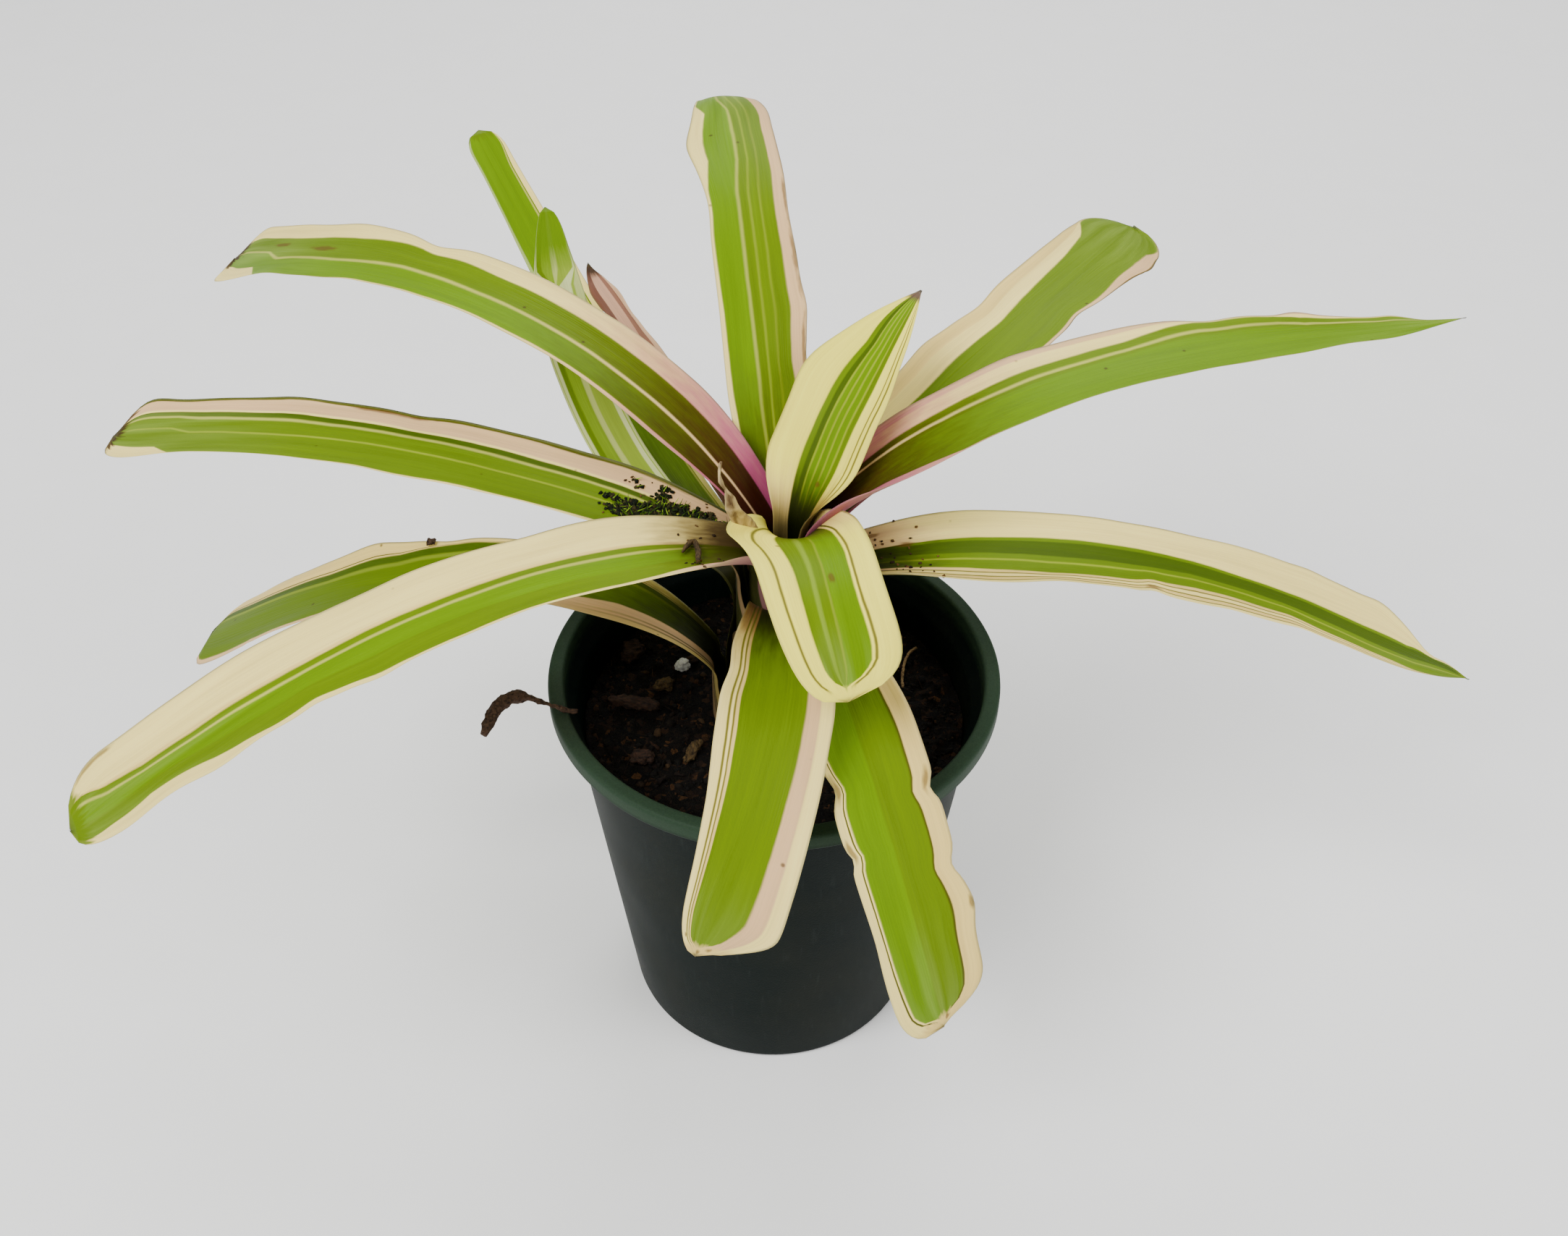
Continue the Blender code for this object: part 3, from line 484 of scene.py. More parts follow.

# name: margins [(t, right, left)], bands [(end, colour)] on the outer blade, base_bands on
# the inner part up to the share base_reach, then the tip's colour and size, the share of pale
# bloom and painted sheen, the brown specks, brown patches (t, across, length mm, width mm) and
# the margins' waves in mm.
LOOKS = {
    "heart": dict(
        margins=[(-0.5, .26, .34), (0.0, .25, .33), (0.35, .24, .34), (0.7, .22, .36),
                 (0.95, .2, .2), (1.0, .1, .1)],
        bands=[(.09, LEMON), (.115, LINE), (.165, LEMON), (.18, LINE), (.30, LEMON), (.355, GREEN),
               (.37, PALE_LINE), (.43, BRIGHT), (.445, PALE_LINE), (.50, BRIGHT),
               (.515, PALE_LINE), (.57, BRIGHT), (.585, PALE_LINE), (.64, DEEP), (.70, GREEN),
               (1.0, LEMON)],
        # its dark base bands are partly painted shade of the crown
        base_bands=[(.30, TAN), (.70, SHADED_OLIVE), (1.0, BEIGE)], base_reach=.22,
        tip=(MAUVE, .07), frost_and_sheen=.0, specks=.1, waves=(.6, 30), patches=[(.13, -.25, 2.0, 2.0)]),
    "cup_front": dict(
        margins=[(-0.5, .32, .24), (0.0, .31, .24), (0.5, .32, .23), (0.8, .32, .22),
                 (0.88, .33, .24), (0.92, .38, .32), (0.94, .50, .48), (1.0, .52, .48)],
        bands=[(.145, LEMON), (.170, LINE), (.30, LEMON), (.40, GREEN), (.435, "#7c9426"),
               (.50, GREEN), (.512, "#7d901c"), (.70, BRIGHT), (.73, LEMON), (.76, LINE),
               (.79, LEMON), (1.0, LEMON)],
        base_bands=[(.145, LEMON), (.170, LINE), (.30, LEMON), (.70, OLIVE), (.73, BEIGE),
                    (.76, OLIVE), (1.0, BEIGE)], base_reach=.26,
        tip=(LEMON, .06), frost_and_sheen=.5, specks=.15, waves=(1.2, 34), patches=[(.50, .22, 4, 2)]),
    "right_long": dict(
        margins=[(-0.5, .34, .30), (0.0, .34, .27), (0.10, .22, .26), (0.20, .01, .25),
                 (0.45, .0, .20), (0.56, .0, .03), (0.68, .0, .02), (0.72, .0, .12),
                 (0.80, .0, .04), (1.0, .0, .0)],
        bands=[(.30, BLUSH), (.60, BRIGHT), (.625, GREEN), (.643, WHITE_LINE), (.70, GREEN),
               (.90, CREAM), (1.0, BLUSH)],
        base_bands=[(.30, PINK), (.625, PURPLE), (.643, BLUSH), (.70, PURPLE), (1.0, PINK)],
        base_reach=.36, tip=(BROWN, .02), frost_and_sheen=.25, specks=.3, waves=(.8, 42), patches=[]),
    "upper_left": dict(
        margins=[(-0.5, .22, .10), (0.0, .22, .09), (0.25, .24, .05), (0.45, .22, .03),
                 (0.58, .12, .02), (0.70, .20, .0), (0.85, .22, .0), (0.89, .2, .26),
                 (0.97, .15, .30), (1.0, .1, .2)],
        bands=[(.30, CREAM), (.475, GREEN), (.498, WHITE_LINE), (.70, BRIGHT), (1.0, CREAM)],
        base_bands=[(.30, PINK), (.475, PURPLE), (.495, BLUSH), (.70, PURPLE), (1.0, PINK)],
        base_reach=.45, tip=(BROWN, .02), frost_and_sheen=.35, specks=.3, waves=(1.0, 46),
        patches=[(.87, -.35, 12, 1.6), (.76, -.22, 14, 2.2)]),
    "back_right": dict(
        margins=[(-0.5, .12, .34), (0.0, .12, .36), (0.5, .04, .33), (0.62, .04, .29),
                 (0.74, .10, .25), (0.84, .16, .18), (0.90, .12, .02), (0.94, .02, .0),
                 (1.0, .0, .0)],
        bands=[(.04, TAN), (.30, BLUSH), (.70, GREEN), (.86, CREAM), (1.0, BEIGE)],
        base_bands=[(.30, PINK), (.70, OLIVE), (1.0, CREAM)], base_reach=.14,
        tip=(GREEN, .02), frost_and_sheen=.25, specks=.3, waves=(.9, 40), patches=[]),
    "left_long": dict(
        margins=[(-0.5, .34, .34), (0.0, .36, .34), (0.08, .38, .20), (0.14, .39, .08),
                 (0.2, .40, .05), (0.5, .42, .04), (0.62, .42, .10), (0.70, .42, .08),
                 (0.80, .42, .20), (0.88, .40, .26), (0.94, .34, .2), (1.0, .10, .05)],
        bands=[(.26, CREAM), (.285, BEIGE), (.34, GREEN), (.365, WHITE_LINE), (.52, BRIGHT),
               (.70, GREEN), (1.0, CREAM)],
        base_bands=[(.30, "#5f4c2c"), (.48, OLIVE), (.70, OLIVE), (1.0, "#e09a9c")], base_reach=.16,
        tip=(GREEN, .03), frost_and_sheen=.2, specks=.2, waves=(1.0, 38), patches=[(.94, -.93, 13, 1.6)]),
    "back_upright": dict(
        margins=[(-0.5, .22, .12), (0.0, .20, .10), (0.4, .17, .04), (0.55, .15, .03),
                 (0.62, .15, .16), (0.78, .15, .18), (0.84, .16, .03), (0.93, .18, .02),
                 (1.0, .1, .1)],
        bands=[(.30, BLUSH), (.385, GREEN), (.395, "#7a8e18"), (.45, GREEN), (.46, "#7f921c"),
               (.515, GREEN), (.53, "#a2a944"), (.70, BRIGHT), (1.0, CREAM)],
        base_bands=[(.30, BLUSH), (.45, OLIVE), (.462, PALE_LINE), (.51, OLIVE), (.53, PALE_LINE),
                    (.70, OLIVE), (1.0, CREAM)], base_reach=.30,
        tip=(GREEN, .02), frost_and_sheen=.45, specks=.2, waves=(.8, 44), patches=[(.28, -.93, 24, 1.2),
                                                                         (.42, -.95, 26, 1.6),
                                                                         (.54, -.94, 16, 1.2)]),
    "right_low": dict(
        margins=[(-0.5, .30, .34), (0.0, .32, .34), (0.15, .28, .33), (0.28, .18, .32),
                 (0.42, .20, .31), (0.5, .28, .33), (0.65, .24, .38), (0.8, .10, .44),
                 (0.88, .03, .42), (0.93, .0, .22), (1.0, .0, .0)],
        bands=[(.07, CREAM), (.09, LINE), (.15, BEIGE), (.17, LINE), (.23, CREAM), (.25, LINE),
               (.30, BEIGE), (.42, GREEN), (.44, PALE_LINE), (.50, GREEN), (.66, DEEP),
               (.70, GREEN), (1.0, CREAM)],
        base_bands=[(.06, BEIGE), (.09, OLIVE), (.14, BEIGE), (.17, OLIVE), (.22, BEIGE),
                    (.25, OLIVE), (.30, BLUSH), (.70, SHADED_OLIVE), (1.0, BLUSH)], base_reach=.16,
        tip=(GREEN, .02), frost_and_sheen=.0, specks=.35, waves=(1.1, 36),
        patches=[(.43, -.80, 5, 2.2), (.07, .30, 5, 2.5), (.02, .75, 4, 2)]),
    "left_mid": dict(
        margins=[(-0.5, .30, .14), (0.0, .30, .10), (0.3, .28, .03), (0.6, .24, .02),
                 (0.8, .22, .0), (0.86, .21, .0), (0.90, .20, .20), (0.97, .2, .24),
                 (1.0, .2, .2)],
        bands=[(.055, OLIVE), (.25, BLUSH), (.285, CREAM), (.335, DEEP), (.352, WHITE_LINE),
               (.46, GREEN), (.47, PALE_LINE), (.70, GREEN), (1.0, CREAM)],
        base_bands=[(.035, SHADED_OLIVE), (.28, BLUSH), (.335, OLIVE), (.365, PALE_LINE), (.70, OLIVE),
                    (1.0, BLUSH)], base_reach=.16,
        tip=(BROWN, .02), frost_and_sheen=.3, specks=.35, waves=(.8, 40), patches=[(.55, -.9, 26, 1.4)]),
    "front_middle": dict(
        margins=[(-0.5, .20, .22), (0.0, .20, .22), (0.2, .20, .22), (0.5, .22, .23),
                 (0.85, .22, .24), (0.93, .24, .27), (0.955, .32, .34), (0.97, .5, .48),
                 (1.0, .52, .48)],
        bands=[(.145, CREAM), (.178, LINE), (.215, CREAM), (.24, LINE), (.285, BEIGE),
               (.70, GREEN), (.85, BLUSH), (1.0, CREAM)],
        # its dark base bands are partly painted shade cast by cup_front over this leaf
        base_bands=[(.15, TAN), (.178, OLIVE), (.22, TAN), (.25, OLIVE), (.29, TAN), (.70, SHADED_OLIVE),
                    (.85, TAN), (1.0, TAN)], base_reach=.26,
        tip=(BEIGE, .05), frost_and_sheen=.15, specks=.25, waves=(1.3, 30),
        patches=[(.985, .02, 2.5, 4), (.97, .35, 2.2, 3), (.93, -.80, 2, 2)]),
    "front_right": dict(
        margins=[(-0.5, .12, .20), (0.0, .12, .20), (0.3, .10, .19), (0.55, .12, .20),
                 (0.8, .14, .20), (0.93, .17, .21), (0.96, .26, .28), (0.975, .5, .48),
                 (1.0, .52, .48)],
        bands=[(.22, CREAM), (.26, OLIVE), (.30, CREAM), (.50, BRIGHT), (.70, GREEN), (.73, OLIVE),
               (1.0, BEIGE)],
        base_bands=[(.30, BEIGE), (.70, DEEP), (.74, OLIVE), (1.0, BEIGE)], base_reach=.30,
        tip=(BEIGE, .04), frost_and_sheen=.25, specks=.3, waves=(1.2, 28),
        patches=[(.42, .90, 7, 2.4), (.40, -.92, 7, 2), (.53, -.93, 6, 2), (.72, .95, 5, 1.6),
                 (.98, .2, 1.6, 3)]),
    "back_left": dict(
        margins=[(-0.5, .10, .10), (0.0, .12, .10), (0.4, .14, .08), (0.7, .20, .07),
                 (0.92, .20, .05), (1.0, .05, .05)],
        bands=[(.20, CREAM), (.24, GREEN), (.30, WHITE_LINE), (.70, BRIGHT), (1.0, FROST)],
        base_bands=[(.30, OLIVE), (.70, SHADED_OLIVE), (1.0, OLIVE)], base_reach=.60,
        tip=(GREEN, .02), frost_and_sheen=.0, specks=.1, waves=(.5, 36), patches=[]),
    "left_low": dict(
        margins=[(-0.5, .12, .42), (0.0, .12, .42), (0.18, .12, .38), (0.35, .06, .16),
                 (0.48, .05, .06), (0.56, .18, .05), (0.7, .24, .05), (0.9, .24, .05),
                 (1.0, .2, .05)],
        bands=[(.25, BEIGE), (.27, OLIVE), (.30, BEIGE), (.36, DEEP), (.39, "#7a8c20"),
               (.70, "#5a7400"), (1.0, BLUSH)],
        base_bands=[(.30, OLIVE), (.70, SHADED_OLIVE), (.82, BLUSH), (.85, OLIVE), (.88, BLUSH),
                    (.91, OLIVE), (1.0, BEIGE)], base_reach=.32,
        tip=(BROWN, .03), frost_and_sheen=.0, specks=.3, waves=(.8, 40), patches=[]),
    "back_pale": dict(
        margins=[(-0.5, .12, .10), (0.0, .14, .10), (0.66, .16, .12), (0.74, .50, .40),
                 (0.82, .46, .42), (0.86, .05, .05), (1.0, .02, .02)],
        bands=[(.10, "#b9c27a"), (.14, "#8fa63c"), (.30, "#ccd394"), (.46, "#8ea534"),
               (.52, "#b4be6a"), (.64, "#7d9a20"), (.70, GREEN), (.86, "#c2ca88"),
               (.90, "#8fa63c"), (1.0, "#b9c27a")],
        base_bands=[(.30, "#8b8b4c"), (.52, "#6c7330"), (.70, OLIVE), (1.0, "#7d7f42")],
        base_reach=.30,
        tip=(BRIGHT, .15), frost_and_sheen=.0, specks=.2, waves=(.6, 34), patches=[]),
    "back_dry": dict(
        margins=[(-0.5, .2, .2), (0.0, .2, .2), (1.0, .2, .2)],
        bands=[(.30, "#cda583"), (.50, "#8a5f4c"), (.70, "#bd9276"), (1.0, "#6d4638")],
        base_bands=[(.50, "#6d4a38"), (1.0, "#4a3024")], base_reach=.40,
        tip=(BROWN, .08), frost_and_sheen=.0, specks=.6, waves=(1.5, 16), patches=[]),
}
print(len(LOOKS), "leaf looks")

# %% [markdown]
# ## The strap-leaf tree
# All fifteen leaves follow one rule, so one Geometry Nodes tree makes them.  It is given a
# guide: a line of points along the midrib that carries each step's directions and widths.  The
# tree lays a grid along the guide, bends each row into a channel, lifts the thin margins into
# soft waves, and adds a lower face that meets the upper one at the edge.  A real leaf is thick
# along the middle and thin at its margins, and the lower face follows that.


# %% Strap-leaf tree
def strap_leaf_tree():
    tree, given = new_tree("strap leaf", [
        ("Points Across", "NodeSocketInt", 33), ("Thickness", "NodeSocketFloat", 0.0007),
        ("Wave Height", "NodeSocketFloat", 0.001), ("Wave Length", "NodeSocketFloat", 0.04),
        ("Seed", "NodeSocketFloat", 0.0), ("Material", "NodeSocketMaterial", None)])
    guide = given.outputs["Geometry"]
    rows = add(tree, "GeometryNodeAttributeDomainSize", {"Geometry": guide}, "Point Count")
    grid = add(tree, "GeometryNodeMeshGrid", {
        "Size X": 2.0, "Size Y": 1.0, "Vertices X": given.outputs["Points Across"],
        "Vertices Y": rows})
    place = add(tree, "GeometryNodeInputPosition")
    split = add(tree, "ShaderNodeSeparateXYZ", {0: place}).node
    across = split.outputs["X"]
    last_row = calc(tree, "SUBTRACT", rows, 1.0)
    share = calc(tree, "ADD", split.outputs["Y"], 0.5)
    row = calc(tree, "MULTIPLY", share, last_row)
    row = calc(tree, "ROUND", row)

    def from_guide(name, kind):
        """The guide's value for the grid's row."""
        field = add(tree, "GeometryNodeInputPosition") if name == "position" else add(
            tree, "GeometryNodeInputNamedAttribute", {"Name": name}, data_type=kind)
        return add(tree, "GeometryNodeSampleIndex", {
            "Geometry": guide, "Value": field, "Index": row}, data_type=kind, domain="POINT")

    midrib = from_guide("position", "FLOAT_VECTOR")
    side = from_guide("side", "FLOAT_VECTOR")
    up = from_guide("up", "FLOAT_VECTOR")
    widths = add(tree, "ShaderNodeSeparateXYZ", {0: from_guide("widths", "FLOAT_VECTOR")}).node
    margins = from_guide("margins", "FLOAT_VECTOR")
    place_along = add(tree, "ShaderNodeSeparateXYZ",
                      {0: from_guide("along", "FLOAT_VECTOR")}).node
    right, left, curl = widths.outputs["X"], widths.outputs["Y"], widths.outputs["Z"]
    blade_share, metres, body_share = (place_along.outputs[k] for k in "XYZ")

    # the bend across the leaf: an arc of the row's own radius
    on_left = calc(tree, "GREATER_THAN", across, 0.0)
    half = add(tree, "ShaderNodeMix", {0: on_left, 2: right, 3: left}, data_type="FLOAT")
    arc = calc(tree, "MULTIPLY", across, half)
    angle = calc(tree, "DIVIDE", arc, curl)
    sine = calc(tree, "SINE", angle)
    cosine = calc(tree, "COSINE", angle)
    out = calc(tree, "MULTIPLY", sine, curl)
    less = calc(tree, "SUBTRACT", 1.0, cosine)
    lift = calc(tree, "MULTIPLY", less, curl)
    sideways = scaled(tree, side, out)
    upwards = scaled(tree, up, lift)
    bent = vector(tree, "ADD", sideways, upwards)
    bent = vector(tree, "ADD", bent, midrib)

    # the inward direction of the channel, at right angles to the leaf's face
    in_side = calc(tree, "MULTIPLY", sine, -1.0)
    in_a = scaled(tree, side, in_side)
    in_b = scaled(tree, up, cosine)
    inward = vector(tree, "ADD", in_a, in_b)

    # soft waves that grow towards the margins of the free blade
    reach = calc(tree, "DIVIDE", metres, given.outputs["Wave Length"])
    where = add(tree, "ShaderNodeCombineXYZ", {0: across, 1: reach, 2: given.outputs["Seed"]})
    swell = clouds(tree, where, 1.0, 1.0)
    swell = calc(tree, "SUBTRACT", swell, 0.5)
    rim = calc(tree, "ABSOLUTE", across)
    rim = calc(tree, "POWER", rim, 2.2)
    wave = calc(tree, "MULTIPLY", swell, rim)
    wave = calc(tree, "MULTIPLY", wave, given.outputs["Wave Height"])
    free = remap(tree, blade_share, 0.1, 0.35, to_high=4.0, soft=True)
    wave = calc(tree, "MULTIPLY", wave, free)
    waved = scaled(tree, inward, wave)
    upper = add(tree, "GeometryNodeSetPosition", {
        "Geometry": grid,
        "Position": vector(tree, "ADD", bent, waved)})

    # carried along for the material: across, blade share, metres; then the margins
    across_kept = add(tree, "ShaderNodeCombineXYZ", {0: across, 1: blade_share, 2: metres})
    # (these fields read the flat grid, so they are stored before the grid is bent)
    kept = store(tree, grid, "leaf_place", across_kept)
    kept = store(tree, kept, "leaf_margins", margins)
    thin = calc(tree, "ABSOLUTE", across)
    thin = calc(tree, "POWER", thin, 7.0)
    thin = calc(tree, "SUBTRACT", 1.0, thin)
    thin = calc(tree, "MULTIPLY", thin, body_share)
    thin = calc(tree, "MULTIPLY", thin, given.outputs["Thickness"])
    below = calc(tree, "MULTIPLY", thin, -1.0)
    drop = scaled(tree, inward, below)
    kept = store(tree, kept, "drop", drop)
    tree.links.new(kept, upper.node.inputs["Geometry"])

    # the lower face, and both joined at the edge
    stored_drop = add(tree, "GeometryNodeInputNamedAttribute", {"Name": "drop"},
                      data_type="FLOAT_VECTOR")
    lower = add(tree, "GeometryNodeSetPosition", {"Geometry": upper, "Offset": stored_drop})
    lower = store(tree, lower, "underside", 1.0, "FLOAT")
    turned = add(tree, "GeometryNodeFlipFaces", {"Mesh": upper})
    both = add(tree, "GeometryNodeJoinGeometry", {"Geometry": turned})
    tree.links.new(lower, both.node.inputs["Geometry"])
    whole = add(tree, "GeometryNodeMergeByDistance", {"Geometry": both, "Distance": 1e-7})
    whole = add(tree, "GeometryNodeRemoveAttribute", {"Geometry": whole, "Name": "drop"})
    end_tree(tree, whole, given.outputs["Material"])
    return tree


STRAP_LEAF = strap_leaf_tree()
print("strap-leaf tree:", len(STRAP_LEAF.nodes), "nodes")

# %% [markdown]
# ## Leaf material
# The stripes follow the leaf's surface, so the material reads the two values that the tree
# stored: the place across and along the leaf, and the width of both margins there.  Three Map
# Range nodes stretch that place onto the fixed scale of the bands, and one colour ramp paints
# them.  Noise drawn out along the leaf gives the veins.  Towards the crown the colour turns to
# the olive and purple of the leaf bases and darkens: partly their own colour, partly painted
# shade of the crown.


# %% Leaf material
def band_stops(bands):
    """Ramp stops with a short blend between bands, shorter beside a thin line."""
    stops, start = [], 0.0
    for end, colour in bands:
        soft = min(0.008, 0.3 * (end - start))
        stops.append((start + (soft if start else 0.0), colour))
        stops.append((end - (soft if end < 1.0 else 0.0), colour))
        start = end
    return stops


def leaf_material(name, look, width, blade, seed):
    """Living leaf skin: a satin cuticle over striped tissue."""
    material, tree, shader = new_material(name + " leaf, satin cuticle", 0.45, 0.07)
    place = add(tree, "ShaderNodeAttribute", output="Vector", attribute_name="leaf_place")
    place = add(tree, "ShaderNodeSeparateXYZ", {0: place}).node
    across, share, metres = (place.outputs[k] for k in "XYZ")
    edges = add(tree, "ShaderNodeAttribute", output="Vector", attribute_name="leaf_margins")
    edges = add(tree, "ShaderNodeSeparateXYZ", {0: edges}).node
    right, left = edges.outputs["X"], edges.outputs["Y"]

    # wandering stripe borders: 25 mm and 6 mm long swings
    spot = add(tree, "ShaderNodeCombineXYZ", {0: across, 1: metres, 2: seed * 3.7})
    slow = drawn_clouds(tree, spot, (1.3, 40.0, 1.0), 1.0)
    quick = drawn_clouds(tree, spot, (9.0, 160.0, 1.0), 2.0)
    u = calc(tree, "MULTIPLY_ADD", across, 0.5, 0.5)
    u = calc(tree, "MULTIPLY_ADD", slow, 0.035, u)
    u = calc(tree, "MULTIPLY_ADD", quick, 0.010, u)
    u = calc(tree, "SUBTRACT", u, 0.0225)

    # the place on the fixed scale of the bands
    far = calc(tree, "SUBTRACT", 1.0, left)
    first = remap(tree, u, 0.0, right, 0.0, MIDDLE_START)
    middle = remap(tree, u, right, far, 0.0, MIDDLE_END - MIDDLE_START)
    last = remap(tree, u, far, 1.0, 0.0, 1.0 - MIDDLE_END)
    band = calc(tree, "ADD", first, middle)
    band = calc(tree, "ADD", band, last)
    outer = colour_ramp(tree, band, band_stops(look["bands"]))
    inner = colour_ramp(tree, band, band_stops(look["base_bands"]))

    # how far the crown's colours reach up the blade: the leaves' own base colours, with painted
    # shade of the crown in the darkest bands
    fade_at = calc(tree, "MULTIPLY_ADD", quick, 0.10, share)
    crown = remap(tree, fade_at, 0.05 + look["base_reach"], 0.05, 0.0, 1.0, soft=True)
    colour = blend(tree, crown, outer, inner)

    # veins 0.5 mm apart and broader streaks 3 mm wide, drawn out along the leaf
    across_mm = calc(tree, "MULTIPLY", across, width * 500)
    fine_spot = add(tree, "ShaderNodeCombineXYZ", {0: across_mm, 1: metres, 2: seed})
    vein = drawn_clouds(tree, fine_spot, (2.0, 25.0, 1.0), 2.0)
    streak = drawn_clouds(tree, fine_spot, (0.3, 18.0, 1.0), 2.0)
    body_a = calc(tree, "GREATER_THAN", band, MIDDLE_START)
    body_b = calc(tree, "LESS_THAN", band, MIDDLE_END)
    body = calc(tree, "MULTIPLY", body_a, body_b)

    # the pale bloom on the outer part of some blades: partly the leaf's own bloom, partly painted
    # sheen
    bloom_and_sheen_at = remap(tree, share, 0.65, 1.0, soft=True)
    patchy = remap(tree, streak, 0.35, 0.7)
    bloom_and_sheen = calc(tree, "MULTIPLY", bloom_and_sheen_at, patchy)
    bloom_and_sheen = calc(tree, "MULTIPLY", bloom_and_sheen, body)
    bloom_and_sheen = calc(tree, "MULTIPLY", bloom_and_sheen, look["frost_and_sheen"])
    colour = blend(tree, bloom_and_sheen, colour, linear(FROST))

    tone = calc(tree, "MULTIPLY_ADD", vein, 0.28, 0.68)
    tone = calc(tree, "MULTIPLY_ADD", streak, 0.44, tone)
    # the foot of the blade and the sheath are darker: partly their own colour, partly painted shade
    # of the crown
    foot = remap(tree, share, -0.06, 0.11, 0.30, 1.0, soft=True)
    tone = calc(tree, "MULTIPLY", tone, foot)
    colour = scaled(tree, colour, tone)

    # brown specks, a dry tip and brown patches
    speck_at = vector(tree, "MULTIPLY", fine_spot, (0.16, 160.0, 1.0))
    cell = add(tree, "ShaderNodeTexVoronoi", {"Vector": speck_at, "Scale": 1.0}).node
    chosen = add(tree, "ShaderNodeSeparateColor", {0: cell.outputs["Color"]})
    chosen = calc(tree, "GREATER_THAN", chosen, 1.0 - 0.45 * look["specks"])
    small = remap(tree, cell.outputs["Distance"], 0.12, 0.05, to_high=0.75)
    speck = calc(tree, "MULTIPLY", chosen, small)
    colour = blend(tree, speck, colour, linear(BROWN))
    tip_colour, tip_size = look["tip"]
    rough_share = calc(tree, "MULTIPLY_ADD", quick, 0.04, share)
    tip = remap(tree, rough_share, 1.02 - tip_size, 1.02 - 0.6 * tip_size, to_high=0.95)
    colour = blend(tree, tip, colour, linear(tip_colour))
    for t, aside, long_mm, wide_mm in look["patches"]:
        off_along = calc(tree, "SUBTRACT", share, t)
        off_along = calc(tree, "MULTIPLY", off_along, blade * 1000 / (0.5 * long_mm))
        off_aside = calc(tree, "SUBTRACT", across, aside)
        off_aside = calc(tree, "MULTIPLY", off_aside, width * 500 / (0.5 * wide_mm))
        offset = add(tree, "ShaderNodeCombineXYZ", {0: off_along, 1: off_aside})
        distance = add(tree, "ShaderNodeVectorMath", {0: offset}, "Value", operation="LENGTH")
        ragged = calc(tree, "MULTIPLY_ADD", quick, 1.6, distance)
        patch = remap(tree, ragged, 2.0, 1.3, to_high=0.7)
        colour = blend(tree, patch, colour, linear(SCAR))

    # the underside is duller and greyer
    under = add(tree, "ShaderNodeAttribute", output="Fac", attribute_name="underside")
    under = calc(tree, "MULTIPLY", under, foot)
    under = calc(tree, "MULTIPLY", under, foot)
    under = calc(tree, "MULTIPLY", under, 0.30)
    colour = blend(tree, under, colour, linear(UNDERSIDE))
    gloss = calc(tree, "MULTIPLY_ADD", streak, 0.22, 0.34)
    relief = calc(tree, "MULTIPLY_ADD", streak, 1.5, vein)
    surface(tree, shader, colour, relief, 0.5, 0.00025, gloss)
    # the waxy cuticle's sheen is faintly yellow; light passes a little way into the tissue
    shader.inputs["Specular Tint"].default_value = (1.0, 0.97, 0.55, 1.0)
    shader.inputs["Subsurface Weight"].default_value = 0.12
    shader.inputs["Subsurface Scale"].default_value = 0.002
    shader.inputs["Subsurface Radius"].default_value = (1.0, 1.0, 0.4)
    return material


print("leaf material ready")

# %% [markdown]
# ## Growing the leaves
# The guide carries the midrib's directions as point attributes.  Nicks and lobes at the
# margins are added to the two half widths, left and right on their own, because real margins
# are never alike.

# %% Leaves
# name: (place along the blade, side, change of half width as a share, length as a share)
LOBES = {
    "heart": [(.55, 1, .10, .20)],
    "cup_front": [(.20, -1, .36, .26), (.97, -1, -.30, .42), (.80, 1, .06, .30)],
    "right_long": [(.06, -1, .40, .14), (.72, 1, .22, .05), (.58, 1, -.12, .06),
                   (.88, 1, .25, .05), (.3, 1, .10, .1)],
    "upper_left": [(.70, -1, .12, .12), (.56, -1, -.14, .06), (.93, 1, .18, .07),
                   (.80, 1, -.08, .1)],
    "back_right": [(.50, 1, -.10, .08), (.36, 1, .08, .08), (.60, -1, -.15, .07),
                   (.84, -1, .12, .08)],
    "left_long": [(.02, 1, .45, .12), (.55, 1, .10, .05), (.64, 1, -.10, .04), (.78, 1, .16, .07),
                  (.90, 1, .10, .06), (.30, -1, -.06, .1), (.72, -1, .06, .15)],
    "back_upright": [(.68, 1, .26, .14), (.80, -1, .08, .10), (1.0, 1, -.42, .26),
                     (1.0, -1, -.30, .22), (.52, 1, -.06, .08), (.5, -1, -.06, .1),
                     (.34, -1, .08, .05), (.26, -1, -.06, .04)],
    "right_low": [(.08, -1, .45, .30), (.93, 1, -.55, .05), (.84, 1, .12, .05), (.70, 1, .05, .05),
                  (.50, -1, .10, .06), (.43, -1, -.14, .03), (.66, -1, -.08, .05)],
    "left_mid": [(1.0, -1, .22, .10), (.93, 1, .12, .07), (.72, -1, .06, .1), (.5, -1, -.05, .06)],
    "front_middle": [(1.0, -1, -.66, .80), (1.0, 1, .34, .60), (1.0, 1, -.34, .18),
                     (.22, -1, -.10, .10), (.14, 1, -.10, .10)],
    "back_left": [(.95, 1, -.22, .35), (.95, -1, -.22, .35)],
    "back_dry": [(.85, -1, -.60, .60)],
    "front_right": [(.44, 1, -.12, .04), (.62, 1, -.12, .05), (.72, 1, .10, .08),
                    (.40, -1, -.14, .05), (.55, -1, -.10, .03), (.30, -1, .06, .06)],
    "left_low": [(.62, -1, .14, .08), (.48, -1, -.06, .05), (.85, 1, .35, .4), (.85, -1, .12, .3)],
    "back_pale": [(1.0, 1, -.66, .24), (1.0, -1, -.50, .24)],
}


